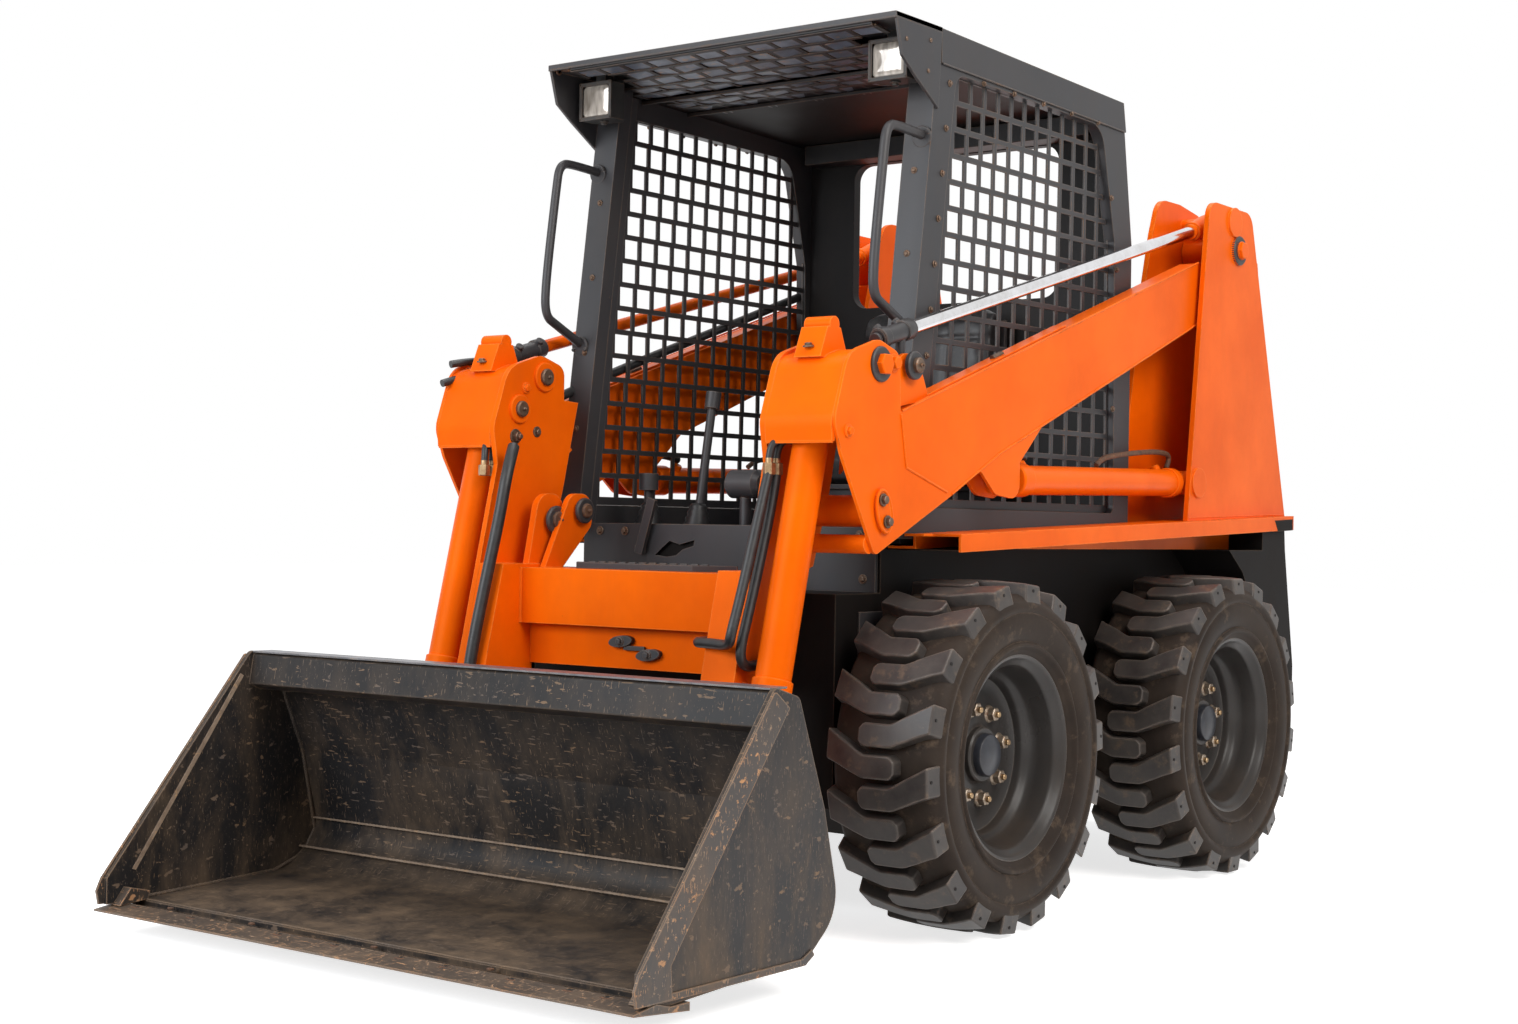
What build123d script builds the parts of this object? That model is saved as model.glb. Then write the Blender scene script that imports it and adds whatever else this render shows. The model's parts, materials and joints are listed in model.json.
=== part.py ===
"""Skid steer loader with a radial lift arm, an open mesh cab and a general-purpose bucket.

Millimetres. +Z is up, the bucket faces -Y and +X is the machine's left-hand side.
Every station (the second coordinate) is measured back from the front axle, and every
height from the ground. export() moves each piece so that the origin lies on the ground
under the middle of the whole machine.
"""
from build123d import *
import os
from math import atan2, cos, degrees, hypot, pi, radians, sin

os.makedirs("parts", exist_ok=True)

# ---------------------------------------------------------------- clearances
SEAT_GAP = 0.3            # between pieces that rest on each other
PIN_GAP = 0.3             # radial, between a hinge pin and its bore
EAR_GAP = 6.0             # between an eye and the ears beside it

# ---------------------------------------------------------------- whole machine
BUCKET_TIP = -1302.0
REAR_END = 1780.0
ORIGIN_SHIFT = -(BUCKET_TIP + REAR_END) / 2

# ---------------------------------------------------------------- wheels
WHEELBASE = 1110.0
TYRE_RADIUS = 388.0
AXLE_HEIGHT = TYRE_RADIUS
TYRE_OUTER_X = 750.0
TYRE_WIDTH = 272.0
TREAD_RADIUS = TYRE_RADIUS - 26    # carcass between the lugs, at the middle
SHOULDER_RADIUS = TYRE_RADIUS - 38
SIDEWALL_RADIUS = TYRE_RADIUS - 108    # where the sidewall is widest
BEAD_RADIUS = 214.0
SHOULDER_INSET = 8.0      # from the tyre's widest face in to its shoulder
BEAD_INSET = 30.0         # from the tyre's widest face in to its bead
LUGS_PER_SIDE = 18
LUG_SWEEP = 62.0          # how far round the tread a lug's inner end is swept
LUG_WIDTH = 52.0
LUG_INSET = 9.0           # from the tyre's widest face in to a lug's outer end
RIM_LIP_RADIUS = 226.0
RIM_LIP_THICKNESS = 10.0
RIM_WALL = 8.0
DISC_X = 622.0            # outer face of the wheel disc
DISC_THICKNESS = 12.0
HUB_RADIUS = 62.0
HUB_LENGTH = 46.0
STUD_CIRCLE_RADIUS = 102.0
STUD_COUNT = 8
NUT_RADIUS = 15.0
NUT_HEIGHT = 18.0
AXLE_TUBE_RADIUS = 70.0
AXLE_FLANGE_RADIUS = 125.0
AXLE_FLANGE_THICKNESS = 24.0

# ---------------------------------------------------------------- chassis
HULL_HALF_WIDTH = 440.0
HULL_FRONT = -285.0
HULL_BELLY = 215.0
HULL_TOP = 850.0
HULL_DECK = 740.0         # low front deck, ahead of the cab's sill
HULL_WALL = 12.0
ENGINE_HALF_WIDTH = 260.0
ENGINE_LENGTH = 540.0
ENGINE_HEIGHT = 770.0
FENDER_OUTER_X = 632.0
FENDER_INNER_X = 508.0
FENDER_FRONT = -85.0
FENDER_TONGUE = 36.0      # how far the inner part of its top runs ahead of it
FENDER_FRONT_HEIGHT = 874.0
FENDER_RISE = 64.0        # from its front to its rear
FENDER_REAR_HEIGHT = FENDER_FRONT_HEIGHT + FENDER_RISE
FENDER_SHELF = FENDER_FRONT_HEIGHT - 28
FENDER_PLATE = 6.0
FENDER_LIP = 40.0

# ---------------------------------------------------------------- loader arm, side view
ARM_PIVOT = (1382.0, 1660.0)
ARM_PIN_RADIUS = 25.0
ARM_CENTRE_X = 548.0
ARM_WIDTH = 60.0
ARM_PLATE = 8.0
ARM_EYE_RADIUS = 42.0
BUCKET_PIVOT = (-490.0, 225.0)
BUCKET_PIN_RADIUS = 24.0

# ---------------------------------------------------------------- towers
TOWER_OUTER_X = 604.0
TOWER_PLATE = 14.0
TOWER_INNER_X = HULL_HALF_WIDTH + SEAT_GAP
TOWER_BASE_FRONT = 1093.0
TOWER_BASE_REAR = 1722.0
TOWER_INNER_FOOT = 975.0
TOWER_INNER_BASE = FENDER_SHELF
PIN_FLANGE_RADIUS = 40.0
PIN_FLANGE_THICKNESS = 6.0

# ---------------------------------------------------------------- cylinders
LIFT_FOOT = (1150.0, 1018.0)
LIFT_EYE = (215.0, 1001.0)
LIFT_TUBE_RADIUS = 35.0
LIFT_ROD_RADIUS = 18.0
TILT_X = 474.0
TILT_HEAD = (-411.0, 1151.0)
TILT_EYE = (-608.0, 345.0)
TILT_TUBE_RADIUS = 38.0
TILT_ROD_RADIUS = 21.0
LEVEL_EYE = (1355.0, 1735.0)
LEVEL_PIN = (-202.0, 1236.0)
LEVEL_ROD_RADIUS = 16.0
LEVEL_FRONT = (-290.0, 1287.0)
LEVEL_TUBE_LENGTH = 125.0
PIN_RADIUS = 18.0

LEVEL_EYE_RADIUS = 25.0
LEVEL_EYE_WIDTH = 26.0
LEVEL_TUBE_RADIUS = 20.0
LEVEL_X = 543.0
LIFT_EYE_RADIUS = 32.0
LIFT_EYE_WIDTH = 40.0
TILT_EYE_RADIUS = 32.0
TILT_EYE_WIDTH = 44.0
TILT_CURL_STROKE = 55.0   # how far the tilt rod still goes in from where it is parked
LEG_INNER_X = 311.0
LEG_OUTER_X = 399.0
LEG_PLATE = 14.0

# ---------------------------------------------------------------- rear body
SHEET = 5.0
HULL_REAR = 1680.0
DOOR_HALF_WIDTH = 390.0
DOOR_BOTTOM = 430.0
DOOR_TOP = 1150.0
DOOR_FACE = REAR_END - 22
DOOR_THICKNESS = 34.0
DOOR_GAP = 6.0
DOOR_HINGE = (DOOR_HALF_WIDTH + 14, DOOR_FACE + 10)
DOOR_HINGE_HEIGHTS = (540.0, 800.0)
DOOR_HINGE_LENGTH = 50.0
DOOR_BARREL_RADIUS = 9.0
DOOR_PIN_RADIUS = 5.0
CORNER_REAR = REAR_END - 15
BUMPER_BOTTOM = HULL_BELLY + 60
BUMPER_TOP = DOOR_BOTTOM - 20
TOW_PIN_Y = REAR_END - 45
LOUVRES = 9
LOUVRE_PITCH = 34.0
TOW_PIN_RADIUS = 17.0

# ---------------------------------------------------------------- cab
CAB_HALF_WIDTH = 505.0
CAB_BASE = 862.0
CAB_TOP = 2014.0
CAB_REAR = 905.0
CAB_WALL = 30.0
CAB_LEAN = 150.0          # how far the front pillars' feet stand ahead of their tops
CAB_ROOF_FALL = 21.0      # of the roof from front to rear
CAB_POST = 30.0
VISOR_FRONT = -193.0
SCREEN_THICKNESS = 5.0
SCREEN_ROWS = 16
SCREEN_COLUMNS = 12
SCREEN_PITCH_UP = 61.2
SCREEN_BAR = 13.0         # width of the metal left between two cells
SCREEN_TOP_ROW = CAB_TOP - 119     # middle of the top row of cells
SCREEN_REAR_COLUMN = 822.0         # middle of the rear column of cells
PILLAR_WIDTH = 72.0
PILLAR_DEPTH = 42.0
VISOR_OVERHANG = 8.0      # of the visor past the cab's sides
LAMP_X = 434.0
LAMP_FRONT = VISOR_FRONT + 87
LAMP_HEIGHT = CAB_TOP - 81
LAMP_WIDE = 100.0
LAMP_DEEP = 70.0
LAMP_TALL = 90.0
SILL_PLATE = 10.0
GRAB_X = 483.0
REAR_WINDOW_HALF_WIDTH = 326.0
REAR_WINDOW_BOTTOM = CAB_TOP - 514
REAR_WINDOW_TOP = CAB_TOP - 111
SILL_FRONT = -112.0
SILL_TOP = CAB_BASE + 25

# ---------------------------------------------------------------- bucket
BUCKET_HALF_WIDTH = 747.0
BUCKET_PLATE = 10.0
CUTTER_THICKNESS = 6.0    # strip along each cheek's front edge, on its outer face
EDGE_HOLE_RADIUS = 8.0
EDGE_HOLES_X = (-671, -490, -220, -54, 126, 244, 413, 553, 640)
HOSE_RADIUS = 11.0
HOSE_X = LEG_OUTER_X + 14


def export(name, *pieces):
    """Write one node, moved so that the origin is under the middle of the machine."""
    moved = [Pos(0, ORIGIN_SHIFT, 0) * solid for piece in pieces for solid in piece.solids()]
    shape = moved[0] if len(moved) == 1 else Compound(children=moved)
    export_step(shape, f"parts/{name}.step")


def outline(rows):
    """Closed side-view outline; rows are (station, height, corner radius)."""
    points = [(station, height) for station, height, _ in rows]
    radii = [radius for _, _, radius in rows]
    return make_face(FilletPolyline(*points, radius=radii, close=True))


def side_plate(face, x, thickness):
    """A side-view face made into a plate that starts at x and grows outwards."""
    return extrude(Plane.YZ.offset(x) * face, amount=thickness, dir=(1, 0, 0))


def cross_pin(point, x_from, x_to, radius):
    """A round bar across the machine, from one x to the other, at (station, height)."""
    return Pos((x_from + x_to) / 2, *point) * Rot(0, 90, 0) * Cylinder(radius, abs(x_to - x_from))


def box(x_from, x_to, y_from, y_to, z_from, z_to):
    """A block given by its faces."""
    size = (x_to - x_from, y_to - y_from, z_to - z_from)
    return Pos((x_from + x_to) / 2, (y_from + y_to) / 2, (z_from + z_to) / 2) * Box(*size)


def bar(start, end, radius, x):
    """A round bar in the side view between two (station, height) points."""
    run = hypot(end[0] - start[0], end[1] - start[1])
    direction = (0, (end[0] - start[0]) / run, (end[1] - start[1]) / run)
    return Plane(origin=(x, *start), x_dir=(1, 0, 0), z_dir=direction) * Cylinder(
        radius, run, align=(Align.CENTER, Align.CENTER, Align.MIN)
    )


def along(start, end, distance):
    """The (station, height) point at a distance from start towards end."""
    run = hypot(end[0] - start[0], end[1] - start[1])
    return (
        start[0] + (end[0] - start[0]) * distance / run,
        start[1] + (end[1] - start[1]) * distance / run,
    )


def cross_pin_z(place, z_from, z_to, radius):
    """A round bar standing upright at (x, station), from one height to the other."""
    return Pos(*place, (z_from + z_to) / 2) * Cylinder(radius, z_to - z_from)


def left_and_right(piece):
    """The piece and its mirror image on the other side of the machine."""
    return piece, mirror(piece, Plane.YZ)


# ================================================================ wheels
TYRE_CENTRE_X = TYRE_OUTER_X - TYRE_WIDTH / 2


def faceted_ring(section, flats, first_corner):
    """A closed section of (x, radius) points, turned about the X axis in flats."""
    turned = []
    for index in range(flats):
        angle = radians(first_corner + 360.0 * index / flats)
        turned.append([(x, radius * sin(angle), radius * cos(angle)) for x, radius in section])
    faces = []
    for this, following in zip(turned, turned[1:] + turned[:1]):
        for start in range(len(section)):
            end = (start + 1) % len(section)
            corners = [this[start], this[end], following[end], following[start]]
            faces.append(Face(Wire.make_polygon(corners, close=True)))
    return Solid(Shell(faces))


def make_tyre():
    """Tyre about the X axis: a ring in flats, each flat carrying one chevron lug per side."""
    half = TYRE_WIDTH / 2
    # A flat's middle is nearer the axle than its corners, so these keep clear of the rim.
    bore_corner = BEAD_RADIUS / cos(pi / LUGS_PER_SIDE)
    lip_corner = (RIM_LIP_RADIUS + SEAT_GAP) / cos(pi / LUGS_PER_SIDE)
    section = [
        (0, bore_corner),
        (0, TREAD_RADIUS),
        (half - SHOULDER_INSET, SHOULDER_RADIUS),
        (half, SIDEWALL_RADIUS),
        (half - BEAD_INSET, lip_corner),
        (half - BEAD_INSET, bore_corner),
    ]
    half_tyre = faceted_ring(section, LUGS_PER_SIDE, 180.0 / LUGS_PER_SIDE)
    # Lug outline in the tread plane: (across from the middle, along the tread).
    lug_outline = [
        (half - LUG_INSET, LUG_WIDTH / 2),
        (half - LUG_INSET, -LUG_WIDTH / 2),
        (0, -LUG_SWEEP),
        (0, 38 - LUG_SWEEP),
        (60, LUG_WIDTH / 2 - 12),
    ]
    lug_top = make_face(Polyline(*lug_outline, close=True))
    # The swept corner is the highest point of the flat-topped lug: it runs on TYRE_RADIUS.
    lug_top_height = (TYRE_RADIUS**2 - LUG_SWEEP**2) ** 0.5
    lug_root = SHOULDER_RADIUS - 20
    lug = Pos(0, 0, lug_root) * extrude(lug_top, amount=lug_top_height - lug_root, dir=(0, 0, 1))
    lug = Rot(-degrees(atan2(LUG_SWEEP, lug_top_height)), 0, 0) * lug
    half_tyre += [Rot(360.0 * index / LUGS_PER_SIDE, 0, 0) * lug for index in range(LUGS_PER_SIDE)]
    return half_tyre + Rot(180.0 / LUGS_PER_SIDE, 0, 0) * mirror(half_tyre, Plane.YZ)


def make_rim():
    """Deep-dish rim with its disc, hub cap, studs and nuts, at its true x."""
    lip_reach = BEAD_INSET - SEAT_GAP - RIM_LIP_THICKNESS
    inner_x = TYRE_OUTER_X - TYRE_WIDTH + lip_reach
    outer_x = TYRE_OUTER_X - lip_reach
    well = BEAD_RADIUS - 24
    section = Polyline(
        (inner_x, RIM_LIP_RADIUS),
        (inner_x, BEAD_RADIUS - SEAT_GAP - RIM_WALL),
        (inner_x + 50, well - RIM_WALL),
        (DISC_X - DISC_THICKNESS, well - RIM_WALL),
        (DISC_X - DISC_THICKNESS, HUB_RADIUS / 2),
        (DISC_X, HUB_RADIUS / 2),
        (DISC_X, well - RIM_WALL),
        (outer_x - 30, well - RIM_WALL),
        (outer_x, BEAD_RADIUS - SEAT_GAP - RIM_WALL),
        (outer_x, RIM_LIP_RADIUS),
        (outer_x - RIM_LIP_THICKNESS, RIM_LIP_RADIUS),
        (outer_x - RIM_LIP_THICKNESS, BEAD_RADIUS - SEAT_GAP),
        (outer_x - 44, well),
        (inner_x + 54, well),
        (inner_x + RIM_LIP_THICKNESS, BEAD_RADIUS - SEAT_GAP),
        (inner_x + RIM_LIP_THICKNESS, RIM_LIP_RADIUS),
        close=True,
    )
    dish = revolve(Plane.XZ * make_face(section), Axis.X)
    hub = Pos(DISC_X, 0, 0) * Rot(0, 90, 0) * Cylinder(
        HUB_RADIUS, HUB_LENGTH + DISC_THICKNESS, align=(Align.CENTER, Align.CENTER, Align.MIN)
    )
    hub = Pos(-DISC_THICKNESS, 0, 0) * hub
    nuts = []
    for index in range(STUD_COUNT):
        place = Rot(360.0 * index / STUD_COUNT, 0, 0) * Pos(DISC_X + NUT_HEIGHT / 2, 0, STUD_CIRCLE_RADIUS)
        nuts.append(place * Rot(0, 90, 0) * extrude(RegularPolygon(NUT_RADIUS, 6), amount=NUT_HEIGHT / 2, both=True))
    return dish + hub + nuts


TYRE = make_tyre()
RIM = make_rim()
# Wheel places: (name, side, station of the axle).
WHEELS = [
    ("front_left", 1, 0.0),
    ("front_right", -1, 0.0),
    ("rear_left", 1, WHEELBASE),
    ("rear_right", -1, WHEELBASE),
]
axle_stubs = []
for corner, side, station in WHEELS:
    place = Pos(0, station, AXLE_HEIGHT)
    tyre = Pos(TYRE_CENTRE_X, 0, 0) * TYRE
    rim = RIM
    stub_end = DISC_X - DISC_THICKNESS - SEAT_GAP
    stub = cross_pin((0, 0), HULL_HALF_WIDTH, stub_end, AXLE_TUBE_RADIUS)
    flange = cross_pin((0, 0), stub_end - AXLE_FLANGE_THICKNESS, stub_end, AXLE_FLANGE_RADIUS)
    stub = stub + flange
    if side < 0:
        tyre, rim, stub = (mirror(piece, Plane.YZ) for piece in (tyre, rim, stub))
    export(f"tyre_{corner}", place * tyre)
    export(f"rim_{corner}", place * rim)
    axle_stubs.append(place * stub)
export("axle_stubs", *axle_stubs)

# ================================================================ chassis
BELLY_RAMP = 60.0
HULL_BODY_REAR = REAR_END - 100
hull_rows = [
    (HULL_FRONT, HULL_BELLY + BELLY_RAMP, 0),
    (HULL_FRONT + BELLY_RAMP, HULL_BELLY, 0),
    (HULL_BODY_REAR - BELLY_RAMP, HULL_BELLY, 0),
    (HULL_BODY_REAR, HULL_BELLY + BELLY_RAMP, 0),
    (HULL_BODY_REAR, HULL_TOP, 0),
    (SILL_FRONT, HULL_TOP, 0),
    (SILL_FRONT, HULL_DECK, 0),
    (HULL_FRONT, HULL_DECK, 0),
]
hull_solid = side_plate(outline(hull_rows), -HULL_HALF_WIDTH, 2 * HULL_HALF_WIDTH)
hull_hollow = box(
    HULL_WALL - HULL_HALF_WIDTH, HULL_HALF_WIDTH - HULL_WALL,
    HULL_FRONT + BELLY_RAMP + HULL_WALL, HULL_BODY_REAR - BELLY_RAMP - HULL_WALL,
    HULL_BELLY + HULL_WALL, HULL_DECK - HULL_WALL,
)
hull_mouth = box(
    HULL_WALL - HULL_HALF_WIDTH, HULL_HALF_WIDTH - HULL_WALL,
    SILL_FRONT + HULL_WALL, HULL_BODY_REAR - BELLY_RAMP - HULL_WALL,
    HULL_DECK - HULL_WALL, HULL_TOP + 1,
)
chassis = hull_solid - hull_hollow - hull_mouth
export("chassis_hull", chassis)
engine_floor = HULL_BELLY + HULL_WALL + SEAT_GAP
engine_front = HULL_BODY_REAR - BELLY_RAMP - HULL_WALL - ENGINE_LENGTH - 8
export(
    "engine_block",
    box(
        -ENGINE_HALF_WIDTH, ENGINE_HALF_WIDTH, engine_front, engine_front + ENGINE_LENGTH,
        engine_floor, engine_floor + ENGINE_HEIGHT,
    ),
)


def fender_height(station):
    """Top of the sloping fender at a station."""
    share = (station - FENDER_FRONT) / (TOWER_BASE_REAR - FENDER_FRONT)
    return FENDER_FRONT_HEIGHT + share * (FENDER_REAR_HEIGHT - FENDER_FRONT_HEIGHT)


def sloped_slab(depth, x_from, x_to):
    """A slab under the fender's sloping top, given by its depth and its two x faces."""
    rows = [
        (FENDER_FRONT, FENDER_FRONT_HEIGHT, 0),
        (TOWER_BASE_REAR, FENDER_REAR_HEIGHT, 0),
        (TOWER_BASE_REAR, FENDER_REAR_HEIGHT - depth, 0),
        (FENDER_FRONT, FENDER_FRONT_HEIGHT - depth, 0),
    ]
    return side_plate(outline(rows), x_from, x_to - x_from)


fender = sloped_slab(FENDER_PLATE, FENDER_INNER_X, FENDER_OUTER_X)
fender += sloped_slab(FENDER_LIP, FENDER_OUTER_X - FENDER_PLATE, FENDER_OUTER_X)
fender += box(
    HULL_HALF_WIDTH + SEAT_GAP, FENDER_INNER_X + FENDER_PLATE,
    FENDER_FRONT, TOWER_BASE_REAR, FENDER_SHELF - FENDER_PLATE, FENDER_SHELF,
)
inner_web_rows = [
    (FENDER_FRONT, FENDER_SHELF - FENDER_PLATE, 0),
    (FENDER_FRONT, FENDER_FRONT_HEIGHT, 0),
    (TOWER_BASE_REAR, FENDER_REAR_HEIGHT, 0),
    (TOWER_BASE_REAR, FENDER_SHELF - FENDER_PLATE, 0),
]
fender += side_plate(outline(inner_web_rows), FENDER_INNER_X, FENDER_PLATE)
tongue = box(
    FENDER_INNER_X, FENDER_INNER_X + 50,
    FENDER_FRONT - FENDER_TONGUE, FENDER_FRONT + 10,
    FENDER_FRONT_HEIGHT - FENDER_PLATE, FENDER_FRONT_HEIGHT,
)
fender += tongue
for name, piece in zip(("fender_left", "fender_right"), left_and_right(fender)):
    export(name, piece)

# ================================================================ towers
TOWER_TOP = 1776.0
outer_rows = [
    (TOWER_BASE_FRONT, fender_height(TOWER_BASE_FRONT), 0),
    (1204, TOWER_TOP, 48),
    (1468, TOWER_TOP - 4, 48),
    (TOWER_BASE_REAR, fender_height(TOWER_BASE_REAR), 0),
]
inner_rows = [
    (TOWER_INNER_FOOT, TOWER_INNER_BASE, 0),
    (TOWER_INNER_FOOT + 20, FENDER_REAR_HEIGHT, 60),
    (1085, 1400, 400),
    (1165, 1690, 0),
    (1205, TOWER_TOP + 16, 60),
    (1330, TOWER_TOP + 16, 60),
    (1468, TOWER_TOP - 4, 48),
    (TOWER_BASE_REAR, FENDER_REAR_HEIGHT, 0),
    (TOWER_BASE_REAR - 60, TOWER_INNER_BASE, 0),
]
tower = side_plate(outline(outer_rows), TOWER_OUTER_X - TOWER_PLATE, TOWER_PLATE)
tower += side_plate(outline(inner_rows), TOWER_INNER_X, TOWER_PLATE)
web_rows = [(1512, 1640, 0), (1500, 1640, 0), (1630, 960, 0), (1642, 960, 0)]
tower += side_plate(outline(web_rows), TOWER_INNER_X, TOWER_OUTER_X - TOWER_INNER_X)
strap_from = LEVEL_EYE[0] + LEVEL_EYE_RADIUS + EAR_GAP
tower += box(TOWER_INNER_X, TOWER_OUTER_X, strap_from, strap_from + 50, TOWER_TOP - 30, TOWER_TOP - 18)
tower += cross_pin(ARM_PIVOT, TOWER_INNER_X - 14, TOWER_OUTER_X + 14, ARM_PIN_RADIUS)
for point in (ARM_PIVOT, LEVEL_EYE, LIFT_FOOT):
    flange_to = TOWER_OUTER_X + PIN_FLANGE_THICKNESS
    tower += cross_pin(point, TOWER_OUTER_X - TOWER_PLATE, flange_to, PIN_FLANGE_RADIUS)
tower += cross_pin(LIFT_FOOT, TOWER_INNER_X, TOWER_OUTER_X - TOWER_PLATE, PIN_RADIUS)
eye_half = LIFT_EYE_WIDTH / 2 + 2
for x_from, x_to in (
    (TOWER_INNER_X, ARM_CENTRE_X - eye_half),
    (ARM_CENTRE_X + eye_half, TOWER_OUTER_X - TOWER_PLATE),
):
    tower += cross_pin(LIFT_FOOT, x_from, x_to, LIFT_EYE_RADIUS)
for x_from, x_to in (
    (TOWER_INNER_X, LEVEL_X - LEVEL_EYE_WIDTH / 2 - EAR_GAP),
    (LEVEL_X + LEVEL_EYE_WIDTH / 2 + EAR_GAP, TOWER_OUTER_X - TOWER_PLATE),
):
    tower += cross_pin(LEVEL_EYE, x_from, x_to, PIN_RADIUS)
for name, piece in zip(("tower_left", "tower_right"), left_and_right(tower)):
    export(name, piece)

# ================================================================ rear body
HOOD_TOP = 1240.0
HOOD_HALF_WIDTH = TOWER_INNER_X - 8
hood_rows = [
    (CAB_REAR + 45, HULL_TOP + SEAT_GAP, 0),
    (CAB_REAR + 45, HOOD_TOP, 40),
    (DOOR_FACE - DOOR_THICKNESS - DOOR_GAP, HOOD_TOP - 50, 60),
    (DOOR_FACE - DOOR_THICKNESS - DOOR_GAP, HULL_TOP + SEAT_GAP, 0),
]
hood = side_plate(outline(hood_rows), -HOOD_HALF_WIDTH, 2 * HOOD_HALF_WIDTH)
hood -= box(
    SHEET - HOOD_HALF_WIDTH, HOOD_HALF_WIDTH - SHEET,
    CAB_REAR + 45 + SHEET, DOOR_FACE,
    HULL_TOP - 10, HOOD_TOP - 50 - SHEET,
)
export("engine_hood", hood)
door = box(-DOOR_HALF_WIDTH, DOOR_HALF_WIDTH, DOOR_FACE - DOOR_THICKNESS, DOOR_FACE, DOOR_BOTTOM, DOOR_TOP)
for index in range(LOUVRES):
    low = DOOR_BOTTOM + 400 + index * LOUVRE_PITCH
    slot_half = DOOR_HALF_WIDTH - 90
    slot = box(-slot_half, slot_half, DOOR_FACE - 12, DOOR_FACE + 1, low, low + 16)
    door -= slot
for height in DOOR_HINGE_HEIGHTS:
    low, high = height - DOOR_HINGE_LENGTH / 2, height + DOOR_HINGE_LENGTH / 2
    door += box(DOOR_HINGE[0] - 110, DOOR_HINGE[0], DOOR_FACE, DOOR_FACE + 6, low, high)
    door += cross_pin_z(DOOR_HINGE, low, high, DOOR_BARREL_RADIUS)
    door -= cross_pin_z(DOOR_HINGE, low - 1, high + 1, DOOR_PIN_RADIUS + PIN_GAP)
export("rear_door", door)
bumper = box(-HULL_HALF_WIDTH, HULL_HALF_WIDTH, HULL_REAR + SEAT_GAP, REAR_END, BUMPER_BOTTOM, BUMPER_TOP)
bumper -= cross_pin_z((0, TOW_PIN_Y), BUMPER_BOTTOM - 1, BUMPER_TOP + 1, TOW_PIN_RADIUS)
bumper -= box(-60, 60, REAR_END - 90, REAR_END + 1, 320, 352)
export("rear_bumper", bumper)
corner_top = FENDER_SHELF - FENDER_PLATE - SEAT_GAP
corner_front = TOWER_BASE_REAR - 177
wheel_arch = WHEELBASE + TYRE_RADIUS
corner_rows = [
    (wheel_arch - 171, corner_top, 0),
    (wheel_arch - 84, corner_top - 59, 60),
    (wheel_arch + 22, 640, 150),
    (wheel_arch + 82, 420, 0),
    (CORNER_REAR, 420, 40),
    (CORNER_REAR, 511, 0),
    (CORNER_REAR - 64, corner_top, 0),
]
CORNER_OUTER_X = FENDER_OUTER_X - FENDER_PLATE - 10
corner_inner_x = HULL_HALF_WIDTH + SEAT_GAP
corner_panel = side_plate(outline(corner_rows), corner_inner_x, CORNER_OUTER_X - corner_inner_x)
upper_rows = [
    (corner_front, corner_top, 0),
    (corner_front, fender_height(corner_front) - FENDER_PLATE - SEAT_GAP, 0),
    (TOWER_BASE_REAR - 30, FENDER_REAR_HEIGHT - FENDER_PLATE - SEAT_GAP - 2, 0),
    (CORNER_REAR - 64, corner_top, 0),
]
upper_x = FENDER_INNER_X + FENDER_PLATE + SEAT_GAP
corner_panel += side_plate(outline(upper_rows), upper_x, CORNER_OUTER_X - upper_x)
corner_left, corner_right = left_and_right(corner_panel)
EAR_THICKNESS = 13.0
ear_x = corner_inner_x + 30
for height in DOOR_HINGE_HEIGHTS:
    corner_left += cross_pin_z(DOOR_HINGE, height - 40, height + 40, DOOR_PIN_RADIUS)
    for low in (height - 40, height + DOOR_HINGE_LENGTH / 2 + 2):
        high = low + EAR_THICKNESS
        ear_y = DOOR_HINGE[1] + 6
        corner_left += box(DOOR_HINGE[0] - 6, ear_x, ear_y - 12, ear_y, low, high)
        corner_left += box(corner_inner_x + 4, ear_x, CORNER_REAR - 80, ear_y, low, high)
export("rear_corner_left", corner_left)
export("rear_corner_right", corner_right)

# ================================================================ cab
INSIDE = CAB_HALF_WIDTH - CAB_POST - SEAT_GAP
ROOF_REAR = CAB_REAR - 20
ROOF_REAR_TOP = CAB_TOP - CAB_ROOF_FALL
CAB_SHOULDER = CAB_TOP - 384      # where the rear edge starts to slope


def pillar_front(height):
    """Station of the leaning front pillars' front face at a height."""
    return -CAB_LEAN * (CAB_TOP - height) / (CAB_TOP - CAB_BASE)


def column_station(column, height):
    """Middle of a column of screen cells: they fan out from the upright rear column."""
    front = 130 + 0.131 * (height - CAB_TOP + 181)
    return front + (SCREEN_REAR_COLUMN - front) * column / (SCREEN_COLUMNS - 1)


frame_rows = [
    (pillar_front(CAB_BASE), CAB_BASE, 0),
    (0, CAB_TOP, 0),
    (ROOF_REAR, ROOF_REAR_TOP, 0),
    (CAB_REAR + 40, CAB_SHOULDER, 0),
    (CAB_REAR + 40, CAB_BASE, 0),
]
window_base = CAB_BASE + 70
window_top = CAB_TOP - 92
window_rows = [
    (pillar_front(window_base) + 78, window_base, 20),
    (pillar_front(window_top) + 84, window_top, 40),
    (ROOF_REAR - 110, window_top - 6, 70),
    (CAB_REAR - 55, CAB_SHOULDER, 0),
    (CAB_REAR - 40, window_base, 20),
]
window = outline(window_rows)
frame = side_plate(outline(frame_rows), CAB_HALF_WIDTH - CAB_POST, CAB_POST)
pillar_rows = [
    (pillar_front(CAB_BASE), CAB_BASE, 0),
    (0, CAB_TOP, 0),
    (PILLAR_DEPTH, CAB_TOP, 0),
    (pillar_front(CAB_BASE) + PILLAR_DEPTH, CAB_BASE, 0),
]
pillar = side_plate(outline(pillar_rows), CAB_HALF_WIDTH - PILLAR_WIDTH, PILLAR_WIDTH)
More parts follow.
